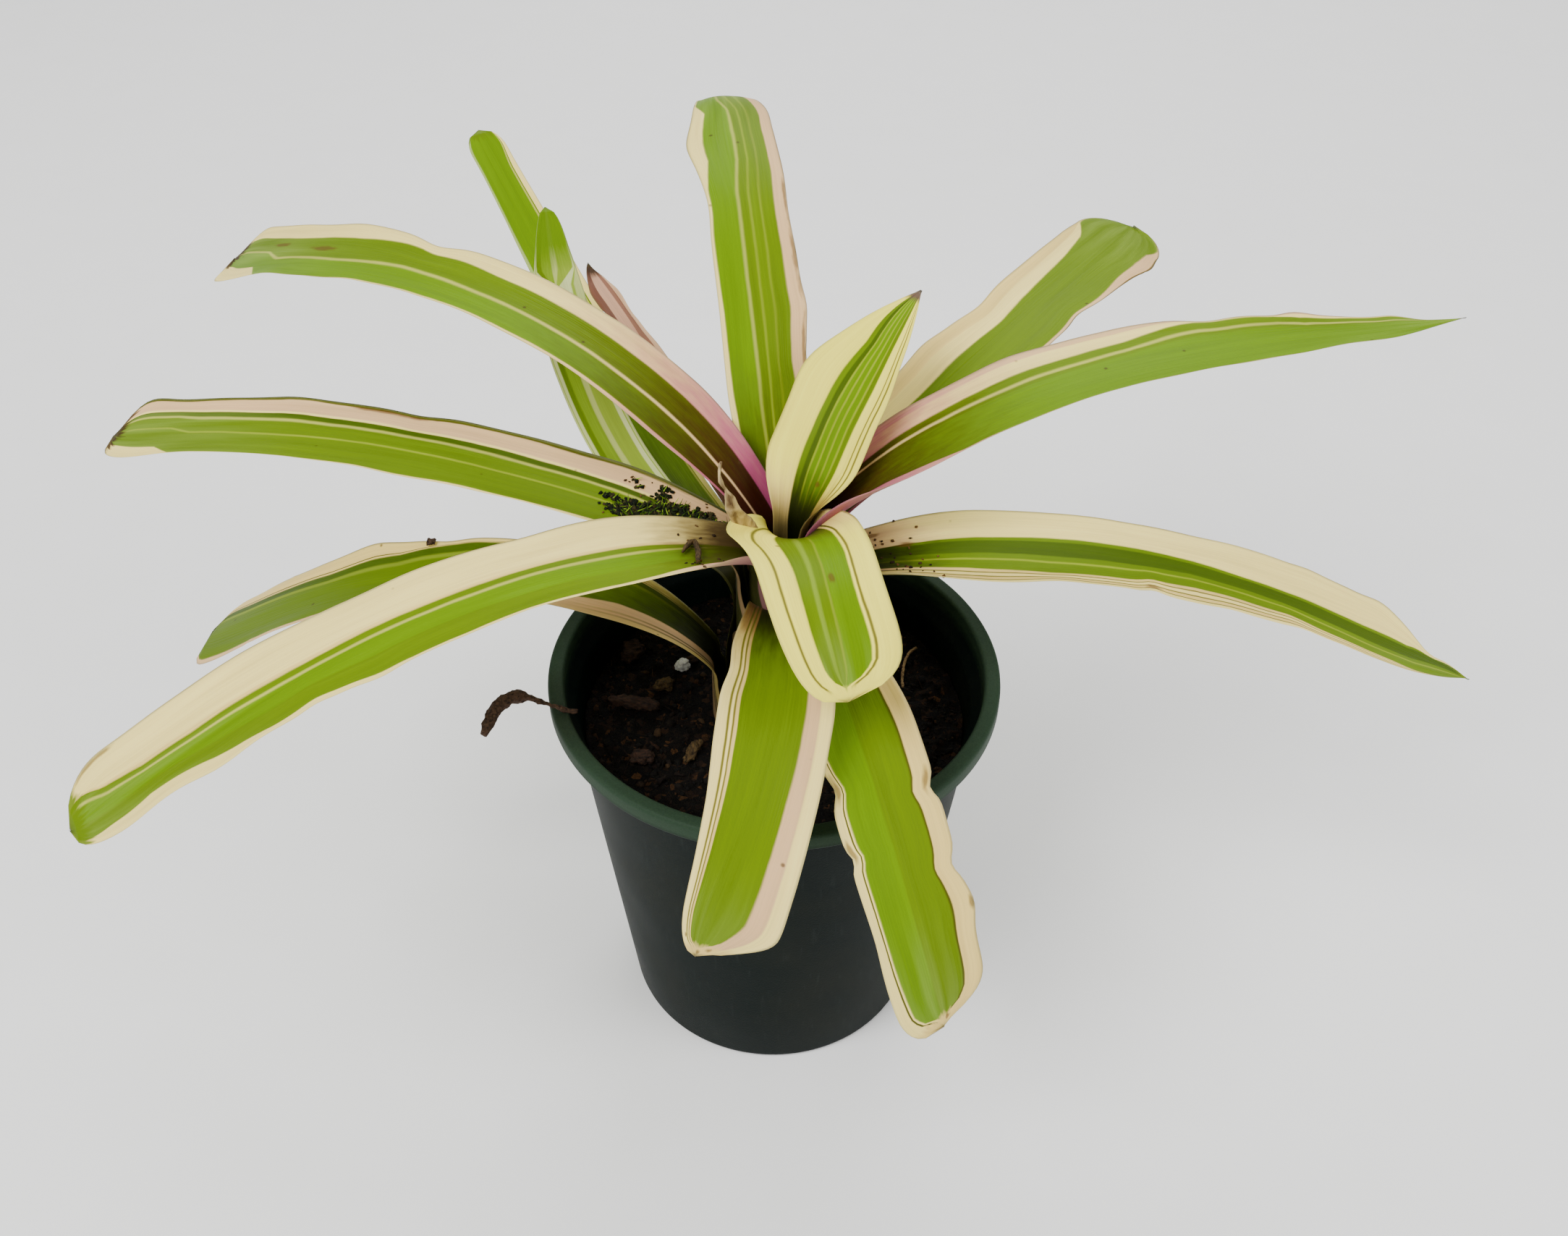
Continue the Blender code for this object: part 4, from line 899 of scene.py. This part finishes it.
def guide_mesh(name, run, look):
    """The midrib as a line of points that carries what the tree needs."""
    mesh = bpy.data.meshes.new(name + "_guide")
    count = len(run["points"])
    mesh.from_pydata([tuple(p) for p in run["points"]], [(k, k + 1) for k in range(count - 1)], [])
    t = run["t"]
    right, left = run["half"].copy(), run["half"].copy()
    for at, side, change, length in LOBES.get(name, []):
        bump = change * np.exp(-((t - at) / (0.6 * length)) ** 2)
        if side > 0:
            left = left * (1 + bump)
        else:
            right = right * (1 + bump)
    places, *sides = zip(*look["margins"])
    margins = [np.maximum(np.interp(t, places, shares), THINNEST_MARGIN) for shares in sides]
    body = smooth(run["end"] * 2.0)
    body[[0, -1]] = 0.0
    values = {
        "side": run["side"], "up": run["up"],
        "widths": np.stack([right, left, run["curl"]], axis=1),
        "margins": np.stack([*margins, 0 * t], axis=1),
        "along": np.stack([t, run["s"], body], axis=1)}
    for key, rows in values.items():
        layer = mesh.attributes.new(key, "FLOAT_VECTOR", "POINT")
        layer.data.foreach_set("vector", np.asarray(rows, np.float32).ravel())
    return mesh


for order, row in enumerate(LEAVES):
    name, width, blade = row[0], row[6] * LEAF_WIDTH, row[4] * MM
    look = LOOKS[name]
    material = leaf_material(name.replace("_", " "), look, width, blade, order + 1.0)
    run = leaf_run(row)
    grown = grow(name, guide_mesh(name, run, look), STRAP_LEAF, {
        "Points Across": 33, "Thickness": LEAF_THICKNESS, "Wave Height": look["waves"][0] * MM,
        "Wave Length": look["waves"][1] * MM, "Seed": order * 5.3, "Material": material})
    leaf = place_mesh("strap_" + name, close_up(grown))
    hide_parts("leaf_" + name)
    print(f"{leaf.name}: {len(grown.polygons)} faces")

# %% [markdown]
# ## Nursery pot
# The pot is blow-moulded polypropylene in a very dark green-grey, with a rolled lip and a
# shoulder below it.  A lathe shape is one outline spun about the pot's axis.  The lip's edges
# get small true roundings, because they catch the light.  Six drain holes go through the
# floor.

# %% Pot outline and holes
POT_HEIGHT = 0.138
LIP_RADIUS = 0.070
LIP_WIDTH, LIP_HEIGHT, LIP_OVERHANG = 0.0050, 0.0060, 0.0022
SHOULDER_WIDTH, SHOULDER_HEIGHT = 0.0045, 0.0050
BASE_RADIUS, POT_WALL, POT_FLOOR, POT_EDGE = 0.0492, 0.0018, 0.0022, 0.0012
DRAIN_HOLES, DRAIN_HOLE_RADIUS, DRAIN_CIRCLE = 6, 0.0045, 0.031
POT_TURNS = 192
WALL_TOP = POT_HEIGHT - LIP_HEIGHT - SHOULDER_HEIGHT


def wall_radius(z):
    """Outside radius of the tapered wall at a height."""
    top = LIP_RADIUS - LIP_OVERHANG - SHOULDER_WIDTH
    return BASE_RADIUS + (top - BASE_RADIUS) * z / WALL_TOP


def rounded(corners):
    """An outline with each corner (radius, height, rounding) turned into a short arc."""
    outline = []
    for k, (r, z, size) in enumerate(corners):
        if size == 0 or k in (0, len(corners) - 1):
            outline.append((r, z))
            continue
        here = Vector((r, z))
        before = (Vector(corners[k - 1][:2]) - here)
        after = (Vector(corners[k + 1][:2]) - here)
        cut = min(size, 0.45 * before.length, 0.45 * after.length)
        start, end = here + before.normalized() * cut, here + after.normalized() * cut
        for step in range(5):
            w = step / 4
            outline.append(tuple(start * (1 - w) ** 2 + here * 2 * w * (1 - w) + end * w * w))
    return outline


def spin_outline(outline, turns):
    """Spin an outline that starts and ends on the axis into a closed shell."""
    work = bmesh.new()
    points = [work.verts.new((r, 0.0, z)) for r, z in outline]
    edges = [work.edges.new(pair) for pair in zip(points, points[1:])]
    bmesh.ops.spin(work, geom=points + edges, cent=(0, 0, 0), axis=(0, 0, 1),
                   angle=2 * math.pi, steps=turns)
    bmesh.ops.remove_doubles(work, verts=work.verts, dist=1e-6)
    bmesh.ops.recalc_face_normals(work, faces=work.faces)
    return mesh_from(work, "spun")


lip_low = POT_HEIGHT - LIP_HEIGHT
lip_inside = LIP_RADIUS - LIP_WIDTH
inner_top = wall_radius(WALL_TOP) - POT_WALL
pot_outline = rounded([
    (0.0, 0.0, 0), (BASE_RADIUS - 0.006, 0.0, 0), (BASE_RADIUS, 0.0, 2 * POT_EDGE),
    (wall_radius(0.03), 0.03, 0), (wall_radius(0.06), 0.06, 0), (wall_radius(0.09), 0.09, 0),
    (wall_radius(WALL_TOP), WALL_TOP, 0.0018), (LIP_RADIUS - LIP_OVERHANG, lip_low, 0.0006),
    (LIP_RADIUS, lip_low, 0.0008), (LIP_RADIUS, POT_HEIGHT, 0.0016),
    (lip_inside, POT_HEIGHT, 0.0014), (lip_inside, lip_low, 0.0008), (inner_top, WALL_TOP, 0.0012),
    (wall_radius(0.06) - POT_WALL, 0.06, 0), (wall_radius(POT_FLOOR) - POT_WALL, POT_FLOOR, 0.0018),
    (0.0, POT_FLOOR, 0)])
pot_mesh = spin_outline(pot_outline, POT_TURNS)

cutter_shape = bmesh.new()
for k in range(DRAIN_HOLES):
    turn = 2 * math.pi * k / DRAIN_HOLES
    place = Matrix.Translation((DRAIN_CIRCLE * math.cos(turn), DRAIN_CIRCLE * math.sin(turn), 0))
    bmesh.ops.create_cone(cutter_shape, cap_ends=True, segments=32, radius1=DRAIN_HOLE_RADIUS,
                          radius2=DRAIN_HOLE_RADIUS, depth=6 * POT_FLOOR, matrix=place)
cutter = scene_object("drain_cutter", mesh_from(cutter_shape, "drain_cutter"))
blank = scene_object("pot_blank", pot_mesh)
drill = blank.modifiers.new("drill", "BOOLEAN")
drill.object, drill.operation, drill.solver = cutter, "DIFFERENCE", "EXACT"
graph = bpy.context.evaluated_depsgraph_get()
pot_mesh = bpy.data.meshes.new_from_object(blank.evaluated_get(graph), depsgraph=graph)
bpy.data.objects.remove(blank)
bpy.data.objects.remove(cutter)
pot_mesh.shade_smooth()
pot_mesh.set_sharp_from_angle(angle=math.radians(50))
print("pot:", len(pot_mesh.polygons), "faces")

# %% [markdown]
# ## Pot plastic
# Moulded polypropylene is matt, with a slight grain from the mould.  The lip is painted lighter
# and greener than the body, as painted light where the lamps fall on it.  Handling leaves dust
# and faint upright scuffs.  Object coordinates in metres set every scale.

# %% Pot material
pot_plastic, tree, shader = new_material("moulded polypropylene, matt dark green-grey", 0.55, 0.05)
place = add(tree, "ShaderNodeTexCoord", output="Object")
height = add(tree, "ShaderNodeSeparateXYZ", {0: place}, "Z")
# painted light: the lip is painted lighter and greener than the body, where the lamps fall on it
painted_lip_light = remap(tree, height, lip_low - 0.001, lip_low + 0.002)
colour = blend(tree, painted_lip_light, linear("#040f0c"), linear("#2b3c2d"))
cloud = clouds(tree, place, 22.0, 3.0)
dusty = remap(tree, cloud, 0.48, 0.75, to_high=0.35)
colour = blend(tree, dusty, colour, linear("#2a2a22"))
scuff = drawn_clouds(tree, place, (700.0, 700.0, 45.0), 3.0)
scuff = remap(tree, scuff, 0.60, 0.80, to_high=0.15)
colour = blend(tree, scuff, colour, linear("#343c3a"))
grain = clouds(tree, place, 2200.0, 2.0)
speckle = calc(tree, "MULTIPLY_ADD", grain, 0.5, 0.75)
colour = scaled(tree, colour, speckle)
rough = calc(tree, "MULTIPLY_ADD", cloud, 0.25, 0.38)
surface(tree, shader, colour, grain, 0.35, 0.0002, rough)

pot_mesh.materials.clear()
pot_mesh.materials.append(pot_plastic)
pot = place_mesh("nursery_pot", pot_mesh)
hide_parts("pot")
print("pot in place")

# %% [markdown]
# ## Potting mix
# The mix is peat, bark and roots: nearly black, lumpy, with brown bits.  A disc of fine rings
# is lifted by layered noise to make the lumps.  The loose crumbs, fibres and bark bits on top
# repeat by the hundred, so a Geometry Nodes tree scatters them over the disc.

# %% Soil surface
SOIL_BUMP = 0.0016
SOIL_RINGS, SOIL_TURNS = 80, 240
SHEATH_REACH = SHEATH_INNER_RADIUS + SHEATH_STEP * (len(LEAVES) - 1) + 4 * LEAF_THICKNESS


def soil_height(x, y):
    """Level under the plant, lumpy elsewhere, as the frame has it, with fine crumbs on top."""
    lumps = (math.sin(310 * x + 1.1) * math.cos(270 * y - 0.4)
             + 0.6 * math.sin(620 * x - 540 * y + 0.7) + 0.4 * math.cos(900 * y + 350 * x))
    away = math.hypot(x - PLANT_AXIS[0], y - PLANT_AXIS[1]) - SHEATH_REACH
    fade = float(smooth(away / 0.008))
    crumbs = noise.fractal(Vector((x, y, 0.3)) * 330, 0.7, 2.1, 4)
    fine = noise.noise(Vector((x, y, 0.7)) * 1300)
    return SOIL_LEVEL + fade * (SOIL_BUMP * 0.5 * lumps + 0.0007 * crumbs + 0.0003 * fine)


wall_gap = 0.0003
soil_radius = wall_radius(SOIL_LEVEL - SOIL_BUMP) - POT_WALL - wall_gap
socket = 0.0123
soil_shape = bmesh.new()
loops = []
soil_base = POT_FLOOR + 2 * POT_EDGE
levels = [(socket * 0.6, SOIL_LEVEL - 0.034), (socket, SOIL_LEVEL - 0.026)]
rings = [(PLANT_AXIS[0], r, z) for r, z in levels]
for k in range(SOIL_RINGS + 1):
    part = k / SOIL_RINGS
    rings.append((PLANT_AXIS[0] * (1 - part), socket + (soil_radius - socket) * part, None))
rings += [(0.0, wall_radius(soil_base) - POT_WALL - wall_gap, soil_base),
          (0.0, wall_radius(POT_FLOOR) - POT_WALL - 2 * POT_EDGE, POT_FLOOR + wall_gap)]
for centre, radius, z in rings:
    loop = []
    for k in range(SOIL_TURNS):
        turn = 2 * math.pi * k / SOIL_TURNS
        x, y = centre + radius * math.cos(turn), radius * math.sin(turn)
        loop.append(soil_shape.verts.new((x, y, soil_height(x, y) if z is None else z)))
    loops.append(loop)
for low, high in zip(loops, loops[1:]):
    for k in range(SOIL_TURNS):
        n = (k + 1) % SOIL_TURNS
        soil_shape.faces.new((low[k], low[n], high[n], high[k]))
soil_shape.faces.new(loops[0])
soil_shape.faces.new(loops[-1])
bmesh.ops.recalc_face_normals(soil_shape, faces=soil_shape.faces)
soil_mesh = mesh_from(soil_shape, "soil")
soil_mesh.shade_smooth()
print("soil:", len(soil_mesh.polygons), "faces")


# %% Potting-mix material
def earth_material(name, stops, cell_size, relief):
    """Damp organic crumbs: each cell of a given size gets its own tone."""
    material, tree, shader = new_material(name, 0.92, 0.15)
    place = add(tree, "ShaderNodeTexCoord", output="Object")
    cells = add(tree, "ShaderNodeTexVoronoi", {"Vector": place, "Scale": 1 / cell_size}).node
    tone = add(tree, "ShaderNodeSeparateColor", {0: cells.outputs["Color"]})
    ramp = colour_ramp(tree, tone, stops)
    dust = clouds(tree, place, 2.5 / cell_size, 4.0)
    shade = calc(tree, "MULTIPLY_ADD", dust, 1.2, 0.4)
    colour = scaled(tree, ramp, shade)
    height = calc(tree, "MULTIPLY_ADD", cells.outputs["Distance"], -0.6, dust)
    surface(tree, shader, colour, height, 0.9, relief)
    return material


EARTH = [(0.0, "#060504"), (0.55, "#0b0806"), (0.80, "#140d09"), (0.93, "#27190f"),
         (1.0, "#412a16")]
potting_mix = earth_material("potting mix, damp peat", EARTH, 0.0018, 0.0008)
soil_mesh.materials.append(potting_mix)
soil = place_mesh("soil_bed", soil_mesh)
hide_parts("potting_soil")
print("soil bed in place")


# %% Scatter tree
def scatter_tree(name, shape_kind):
    """Scatter a small rough shape over the faces marked for it."""
    tree, given = new_tree(name, [
        ("Density", "NodeSocketFloat", 1000.0), ("Seed", "NodeSocketInt", 1),
        ("Size Low", "NodeSocketVector", (0.0004,) * 3),
        ("Size High", "NodeSocketVector", (0.001,) * 3),
        ("Sink", "NodeSocketFloat", 0.0), ("Stand", "NodeSocketFloat", 3.0),
        ("Material", "NodeSocketMaterial", None)])
    bed = given.outputs["Geometry"]
    marked = add(tree, "GeometryNodeInputNamedAttribute", {"Name": "bed"}, data_type="FLOAT")
    density = calc(tree, "MULTIPLY", marked, given.outputs["Density"])
    spots = add(tree, "GeometryNodeDistributePointsOnFaces", {
        "Mesh": bed, "Density": density, "Seed": given.outputs["Seed"]}).node
    if shape_kind == "crumb":
        shape = add(tree, "GeometryNodeMeshIcoSphere", {"Radius": 1.0, "Subdivisions": 1})
    else:
        shape = add(tree, "GeometryNodeMeshCone", {"Vertices": 5, "Side Segments": 3,
                                                   "Radius Top": 0.35, "Radius Bottom": 1.0,
                                                   "Depth": 2.0})
    here = add(tree, "GeometryNodeInputPosition")
    rough = add(tree, "ShaderNodeTexNoise", {"Vector": here, "Scale": 1.6, "Detail": 0.0}, "Color")
    rough = vector(tree, "SUBTRACT", rough, (0.5, 0.5, 0.5))
    rough = scaled(tree, rough, 1.3)
    shape = add(tree, "GeometryNodeSetPosition", {"Geometry": shape, "Offset": rough})
    tilt = given.outputs["Stand"]
    down = calc(tree, "MULTIPLY", tilt, -1.0)
    turn_low = add(tree, "ShaderNodeCombineXYZ", {0: down, 1: down, 2: -3.14})
    turn_high = add(tree, "ShaderNodeCombineXYZ", {0: tilt, 1: tilt, 2: 3.14})
    turn = add(tree, "FunctionNodeRandomValue", {0: turn_low, 1: turn_high, "Seed": 7},
               data_type="FLOAT_VECTOR")
    size = add(tree, "FunctionNodeRandomValue", {0: given.outputs["Size Low"],
                                                 1: given.outputs["Size High"], "Seed": 8},
               data_type="FLOAT_VECTOR")
    sown = add(tree, "GeometryNodeInstanceOnPoints", {"Points": spots.outputs["Points"],
                                                      "Instance": shape, "Scale": size,
                                                      "Rotation": turn})
    tone = add(tree, "FunctionNodeRandomValue", {2: 0.0, 3: 1.0, "Seed": 9}, output=1,
               data_type="FLOAT")
    sown = store(tree, sown, "tone", tone, "FLOAT", "INSTANCE")
    sink = add(tree, "ShaderNodeCombineXYZ", {2: given.outputs["Sink"]})
    sown = add(tree, "GeometryNodeTranslateInstances", {"Instances": sown, "Translation": sink,
                                                        "Local Space": False})
    end_tree(tree, sown, given.outputs["Material"])
    return tree


CRUMB_TREE = scatter_tree("scattered crumbs", "crumb")
STICK_TREE = scatter_tree("scattered sticks", "stick")
print("scatter trees ready")


# %% Crumbs, fibres and bark bits on the soil
def toned_material(name, stops, roughness, scale, relief):
    """A rough organic surface whose tone differs from bit to bit."""
    material, tree, shader = new_material(name, roughness, 0.2)
    tone = add(tree, "ShaderNodeAttribute", output="Fac", attribute_name="tone")
    ramp = colour_ramp(tree, tone, stops)
    place = add(tree, "ShaderNodeTexCoord", output="Object")
    grain = clouds(tree, place, scale, 3.0)
    shade = calc(tree, "MULTIPLY_ADD", grain, 0.9, 0.55)
    colour = scaled(tree, ramp, shade)
    surface(tree, shader, colour, grain, 0.8, relief)
    return material


def bed_mesh(mesh, keep):
    """A copy of a surface whose points carry 1 where bits may lie."""
    bed = mesh.copy()
    layer = bed.attributes.new("bed", "FLOAT", "POINT")
    layer.data.foreach_set("value", [1.0 if keep(v.co, v.normal) else 0.0 for v in bed.vertices])
    return bed


BARE_EDGE = 0.002


def open_soil(co, normal):
    """The level soil, but for a narrow edge at the plant's foot and at the pot's wall."""
    from_plant = math.hypot(co.x - PLANT_AXIS[0], co.y - PLANT_AXIS[1])
    from_pot_axis = math.hypot(co.x, co.y)
    return (normal.z > 0.2 and co.z > SOIL_LEVEL - 0.01
            and SHEATH_REACH + BARE_EDGE < from_plant and from_pot_axis < soil_radius - BARE_EDGE)


soil_bits = [
    # piece, tree, density per square metre, seed, size low, size high (mm), sink mm, tilt, tones
    ("soil_crumbs", CRUMB_TREE, 150000, 3, (.25, .25, .2), (.9, .9, .7), -.1, 3.1, EARTH),
    ("soil_lumps", CRUMB_TREE, 12000, 4, (.8, .7, .5), (1.9, 1.6, 1.1), -.2, .6,
     [(0.0, "#080605"), (0.6, "#110c08"), (0.85, "#1f150d"), (1.0, "#3a2a19")]),
    ("soil_fibres", STICK_TREE, 9000, 5, (.08, .08, 1.2), (.22, .22, 4.0), .1, 1.55,
     [(0.0, "#0d0906"), (0.6, "#1d140c"), (0.9, "#3a2916"), (1.0, "#6a5030")]),
    ("soil_bark_bits", STICK_TREE, 3500, 6, (.5, .3, .9), (1.3, .6, 2.4), .0, 1.5,
     [(0.0, "#0d0907"), (0.5, "#1a100b"), (0.85, "#2f1e13"), (1.0, "#503a22")]),
]
for piece_name, tree, density, seed, low, high, sink, tilt, stops in soil_bits:
    finish = toned_material(piece_name.replace("_", " ") + ", rough", stops, 0.9, 1500.0, 0.0003)
    bits = grow(piece_name, bed_mesh(soil_mesh, open_soil), tree, {
        "Density": float(density), "Seed": seed, "Size Low": [v * MM for v in low],
        "Size High": [v * MM for v in high], "Sink": sink * MM, "Stand": tilt, "Material": finish})
    piece = place_mesh(piece_name, close_up(bits, 1e-9))
    print(f"{piece_name}: {len(bits.polygons)} faces")

# %% [markdown]
# ## Small dry pieces
# Bark chips, a perlite grain, a dry twig over the lip, two dry roots, a dry stub and a bud.
# Their solids already have the right outline.  Each is copied, its loose triangles are merged,
# then it is subdivided and pushed in and out by noise, so that edges crumble and faces get
# their grain.


# %% Weathered copies
def weathered(node, piece_name, material, levels=3, depth=0.0003, scale=900.0, soften=0.6):
    """A finer, rougher copy of a CAD node's mesh."""
    work = bmesh.new()
    work.from_mesh(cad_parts[node].data)
    bmesh.ops.remove_doubles(work, verts=work.verts, dist=1e-6)
    for _ in range(levels):
        bmesh.ops.subdivide_edges(work, edges=work.edges, cuts=1, use_grid_fill=True)
        bmesh.ops.smooth_vert(work, verts=work.verts, factor=soften, use_axis_x=True,
                              use_axis_y=True, use_axis_z=True)
    bmesh.ops.recalc_face_normals(work, faces=work.faces)
    work.normal_update()
    moves = []
    for v in work.verts:
        push = noise.fractal(v.co * scale, 0.8, 2.0, 3) * depth
        moves.append(v.co + v.normal * push)
    for v, place in zip(work.verts, moves):
        v.co = place
    bmesh.ops.triangulate(work, faces=work.faces)
    mesh = mesh_from(work, piece_name)
    mesh.materials.append(material)
    mesh.shade_smooth()
    piece = place_mesh(piece_name, mesh)
    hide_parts(node)
    print(f"{piece_name}: {len(mesh.polygons)} faces")
    return piece


def fibrous_material(name, dark, light, scale_mm, stretch, roughness=0.85, relief=0.0003):
    """Dry plant matter with a grain: stretch draws the noise out along one axis."""
    material, tree, shader = new_material(name, roughness, 0.25)
    place = add(tree, "ShaderNodeTexCoord", output="Object")
    drawn = vector(tree, "MULTIPLY", place, tuple(1000 / (scale_mm * s) for s in stretch))
    grain = add(tree, "ShaderNodeTexNoise", {"Vector": drawn, "Scale": 1.0, "Detail": 4.0,
                                             "Distortion": 0.6})
    ramp = colour_ramp(tree, grain, [(0.30, dark), (0.72, light)])
    surface(tree, shader, ramp, grain, 0.9, relief)
    return material


bark = fibrous_material("fir bark, weathered", "#100a07", "#3d281c", 0.9, (3, 1, 1))
pale_bark = fibrous_material("fir bark, split face", "#1c140b", "#5c4829", 0.8, (1, 3, 1))
perlite = fibrous_material("expanded perlite, porous", "#b9b6b0", "#f2f1ee", 0.5, (1, 1, 1), 0.9)
stalk = fibrous_material("dry stalk, knobbly", "#1d120c", "#57402f", 0.8, (1, 1, 1))
dry_root = fibrous_material("dry root, papery", "#4a3523", "#a88a60", 0.7, (1, 1, 1))
for chip, finish in (("back", bark), ("long", bark), ("middle", pale_bark),
                     ("sliver", pale_bark), ("front", bark)):
    weathered("bark_chip_" + chip, "bark_" + chip, finish, 3, 0.0010, 420.0, 0.12)
weathered("perlite_grain", "perlite_bit", perlite, 3, 0.0005, 700.0, 0.4)
weathered("dry_twig", "twig", stalk, 3, 0.0006, 480.0, 0.3)
weathered("fallen_bud", "bud", stalk, 3, 0.0003, 700.0, 0.3)
weathered("dry_stub", "stub", pale_bark, 3, 0.0002, 900.0, 0.3)
weathered("dry_root_long", "root_long", dry_root, 2, 0.0002, 900.0, 0.2)
weathered("dry_root_short", "root_short", dry_root, 2, 0.0002, 900.0, 0.2)

# %% [markdown]
# ## Dry sheath tip, litter and rootstock
# A dead strip of sheath stands at the crown, thin as paper and curled.  Damp litter has
# gathered on two leaf bases: a crumbly bed with loose bits and a few green moss shoots.  The
# rootstock hides under the sheaths; its CAD mesh is right, so it only gets a better material.

# %% Dry sheath tip, litter and rootstock
papery = fibrous_material("dead sheath, papery", "#4a2f18", "#cdb583", 2.2, (1, 1, 4), 0.8, 0.0002)
weathered("dry_sheath_tip", "sheath_scrap", papery, 2, 0.0002, 260.0, 0.25)

MOSS = [(0.0, "#1c2c0a"), (0.5, "#47680f"), (1.0, "#93b42a")]
LITTER = [(0.0, "#090b05"), (0.6, "#1a2209"), (1.0, "#40371b")]
BARK_CRUMBS = [(0.0, "#1b130a"), (0.6, "#3a2815"), (1.0, "#6a4c28")]
moss_finish = toned_material("moss shoots, fresh", MOSS, 0.8, 900.0, 0.0002)
crumb_finish = toned_material("litter crumbs, rough", LITTER, 0.9, 1500.0, 0.0003)


def blade_bed(leaf_name, lies):
    """A leaf's own surface as a bed; lies(across, share, point) marks where bits rest."""
    blade_mesh = bpy.data.objects["strap_" + leaf_name].data
    places = np.zeros(3 * len(blade_mesh.vertices), np.float32)
    blade_mesh.attributes["leaf_place"].data.foreach_get("vector", places)
    below = np.zeros(len(blade_mesh.vertices), np.float32)
    blade_mesh.attributes["underside"].data.foreach_get("value", below)
    bed = bed_mesh(blade_mesh, lambda co, normal: False)
    marks = [float(under < 0.5 and lies(place[0], place[1], v.co))
             for place, under, v in zip(places.reshape(-1, 3), below, blade_mesh.vertices)]
    bed.attributes["bed"].data.foreach_set("value", marks)
    return bed


def left_heap(across, share, point):
    """An oval with a ragged edge near the foot of a blade."""
    away = math.hypot((share - 0.085) / 0.085, (across + 0.02) / 0.55)
    return away + 0.9 * noise.noise(point * 230) < 1.0


back_patch = bmesh.new()
back_patch.from_mesh(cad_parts["litter_back"].data)
bmesh.ops.remove_doubles(back_patch, verts=back_patch.verts, dist=1e-6)
bmesh.ops.subdivide_edges(back_patch, edges=back_patch.edges, cuts=2, use_grid_fill=True)
back_mesh = mesh_from(back_patch, "litter_patch")
beds = {"left": blade_bed("left_mid", left_heap),
        "back": bed_mesh(back_mesh, lambda co, normal: noise.noise(co * 210) < 0.25)}
for where, bed in beds.items():
    for title, tree, density, low, high, sink, stand, finish in (
            ("litter_crumbs_", CRUMB_TREE, 1500000, (.35, .35, .3), (1.0, 1.0, .8), .15, 3.1,
             crumb_finish),
            ("litter_moss_", STICK_TREE, 450000, (.10, .10, .5), (.26, .26, 1.7), .5, 1.1,
             moss_finish)):
        bits = grow(title + where, bed, tree, {
            "Density": float(density), "Seed": 21, "Size Low": [v * MM for v in low],
            "Size High": [v * MM for v in high], "Sink": sink * MM, "Stand": stand,
            "Material": finish})
        piece = place_mesh(title + where, close_up(bits, 1e-9))
        if tree is CRUMB_TREE:
            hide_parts("litter_" + where)
        print(f"{piece.name}: {len(bits.polygons)} faces")

rolled_finish = toned_material("bark crumbs, brown", BARK_CRUMBS, 0.9, 1500.0, 0.0002)
# crumbs that have rolled on to the feet of three blades: leaf, reach along it, seed
for leaf_name, reach, seed in (("left_mid", 0.17, 31), ("left_long", 0.09, 32),
                               ("right_low", 0.11, 33)):
    bed = blade_bed(leaf_name, lambda across, share, point: (
        0.01 < share < reach and abs(across) < 0.95))
    bits = grow("leaf_crumbs_" + leaf_name, bed, CRUMB_TREE, {
        "Density": 70000.0, "Seed": seed, "Size Low": (0.00018, 0.00018, 0.00015),
        "Size High": (0.0008, 0.0006, 0.0004), "Sink": 0.0001, "Stand": 0.5,
        "Material": rolled_finish})
    piece = place_mesh("leaf_crumbs_" + leaf_name, close_up(bits, 1e-9))
    print(f"{piece.name}: {len(bits.polygons)} faces")

root_wood = fibrous_material("rootstock, fibrous", "#2c1d12", "#6e5435", 1.0, (1, 1, 6))
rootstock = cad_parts["rootstock"]
rootstock.data.materials.clear()
rootstock.data.materials.append(root_wood)

# %% Finish
low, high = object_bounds()
print("visual model from", [round(v, 4) for v in low], "to", [round(v, 4) for v in high])
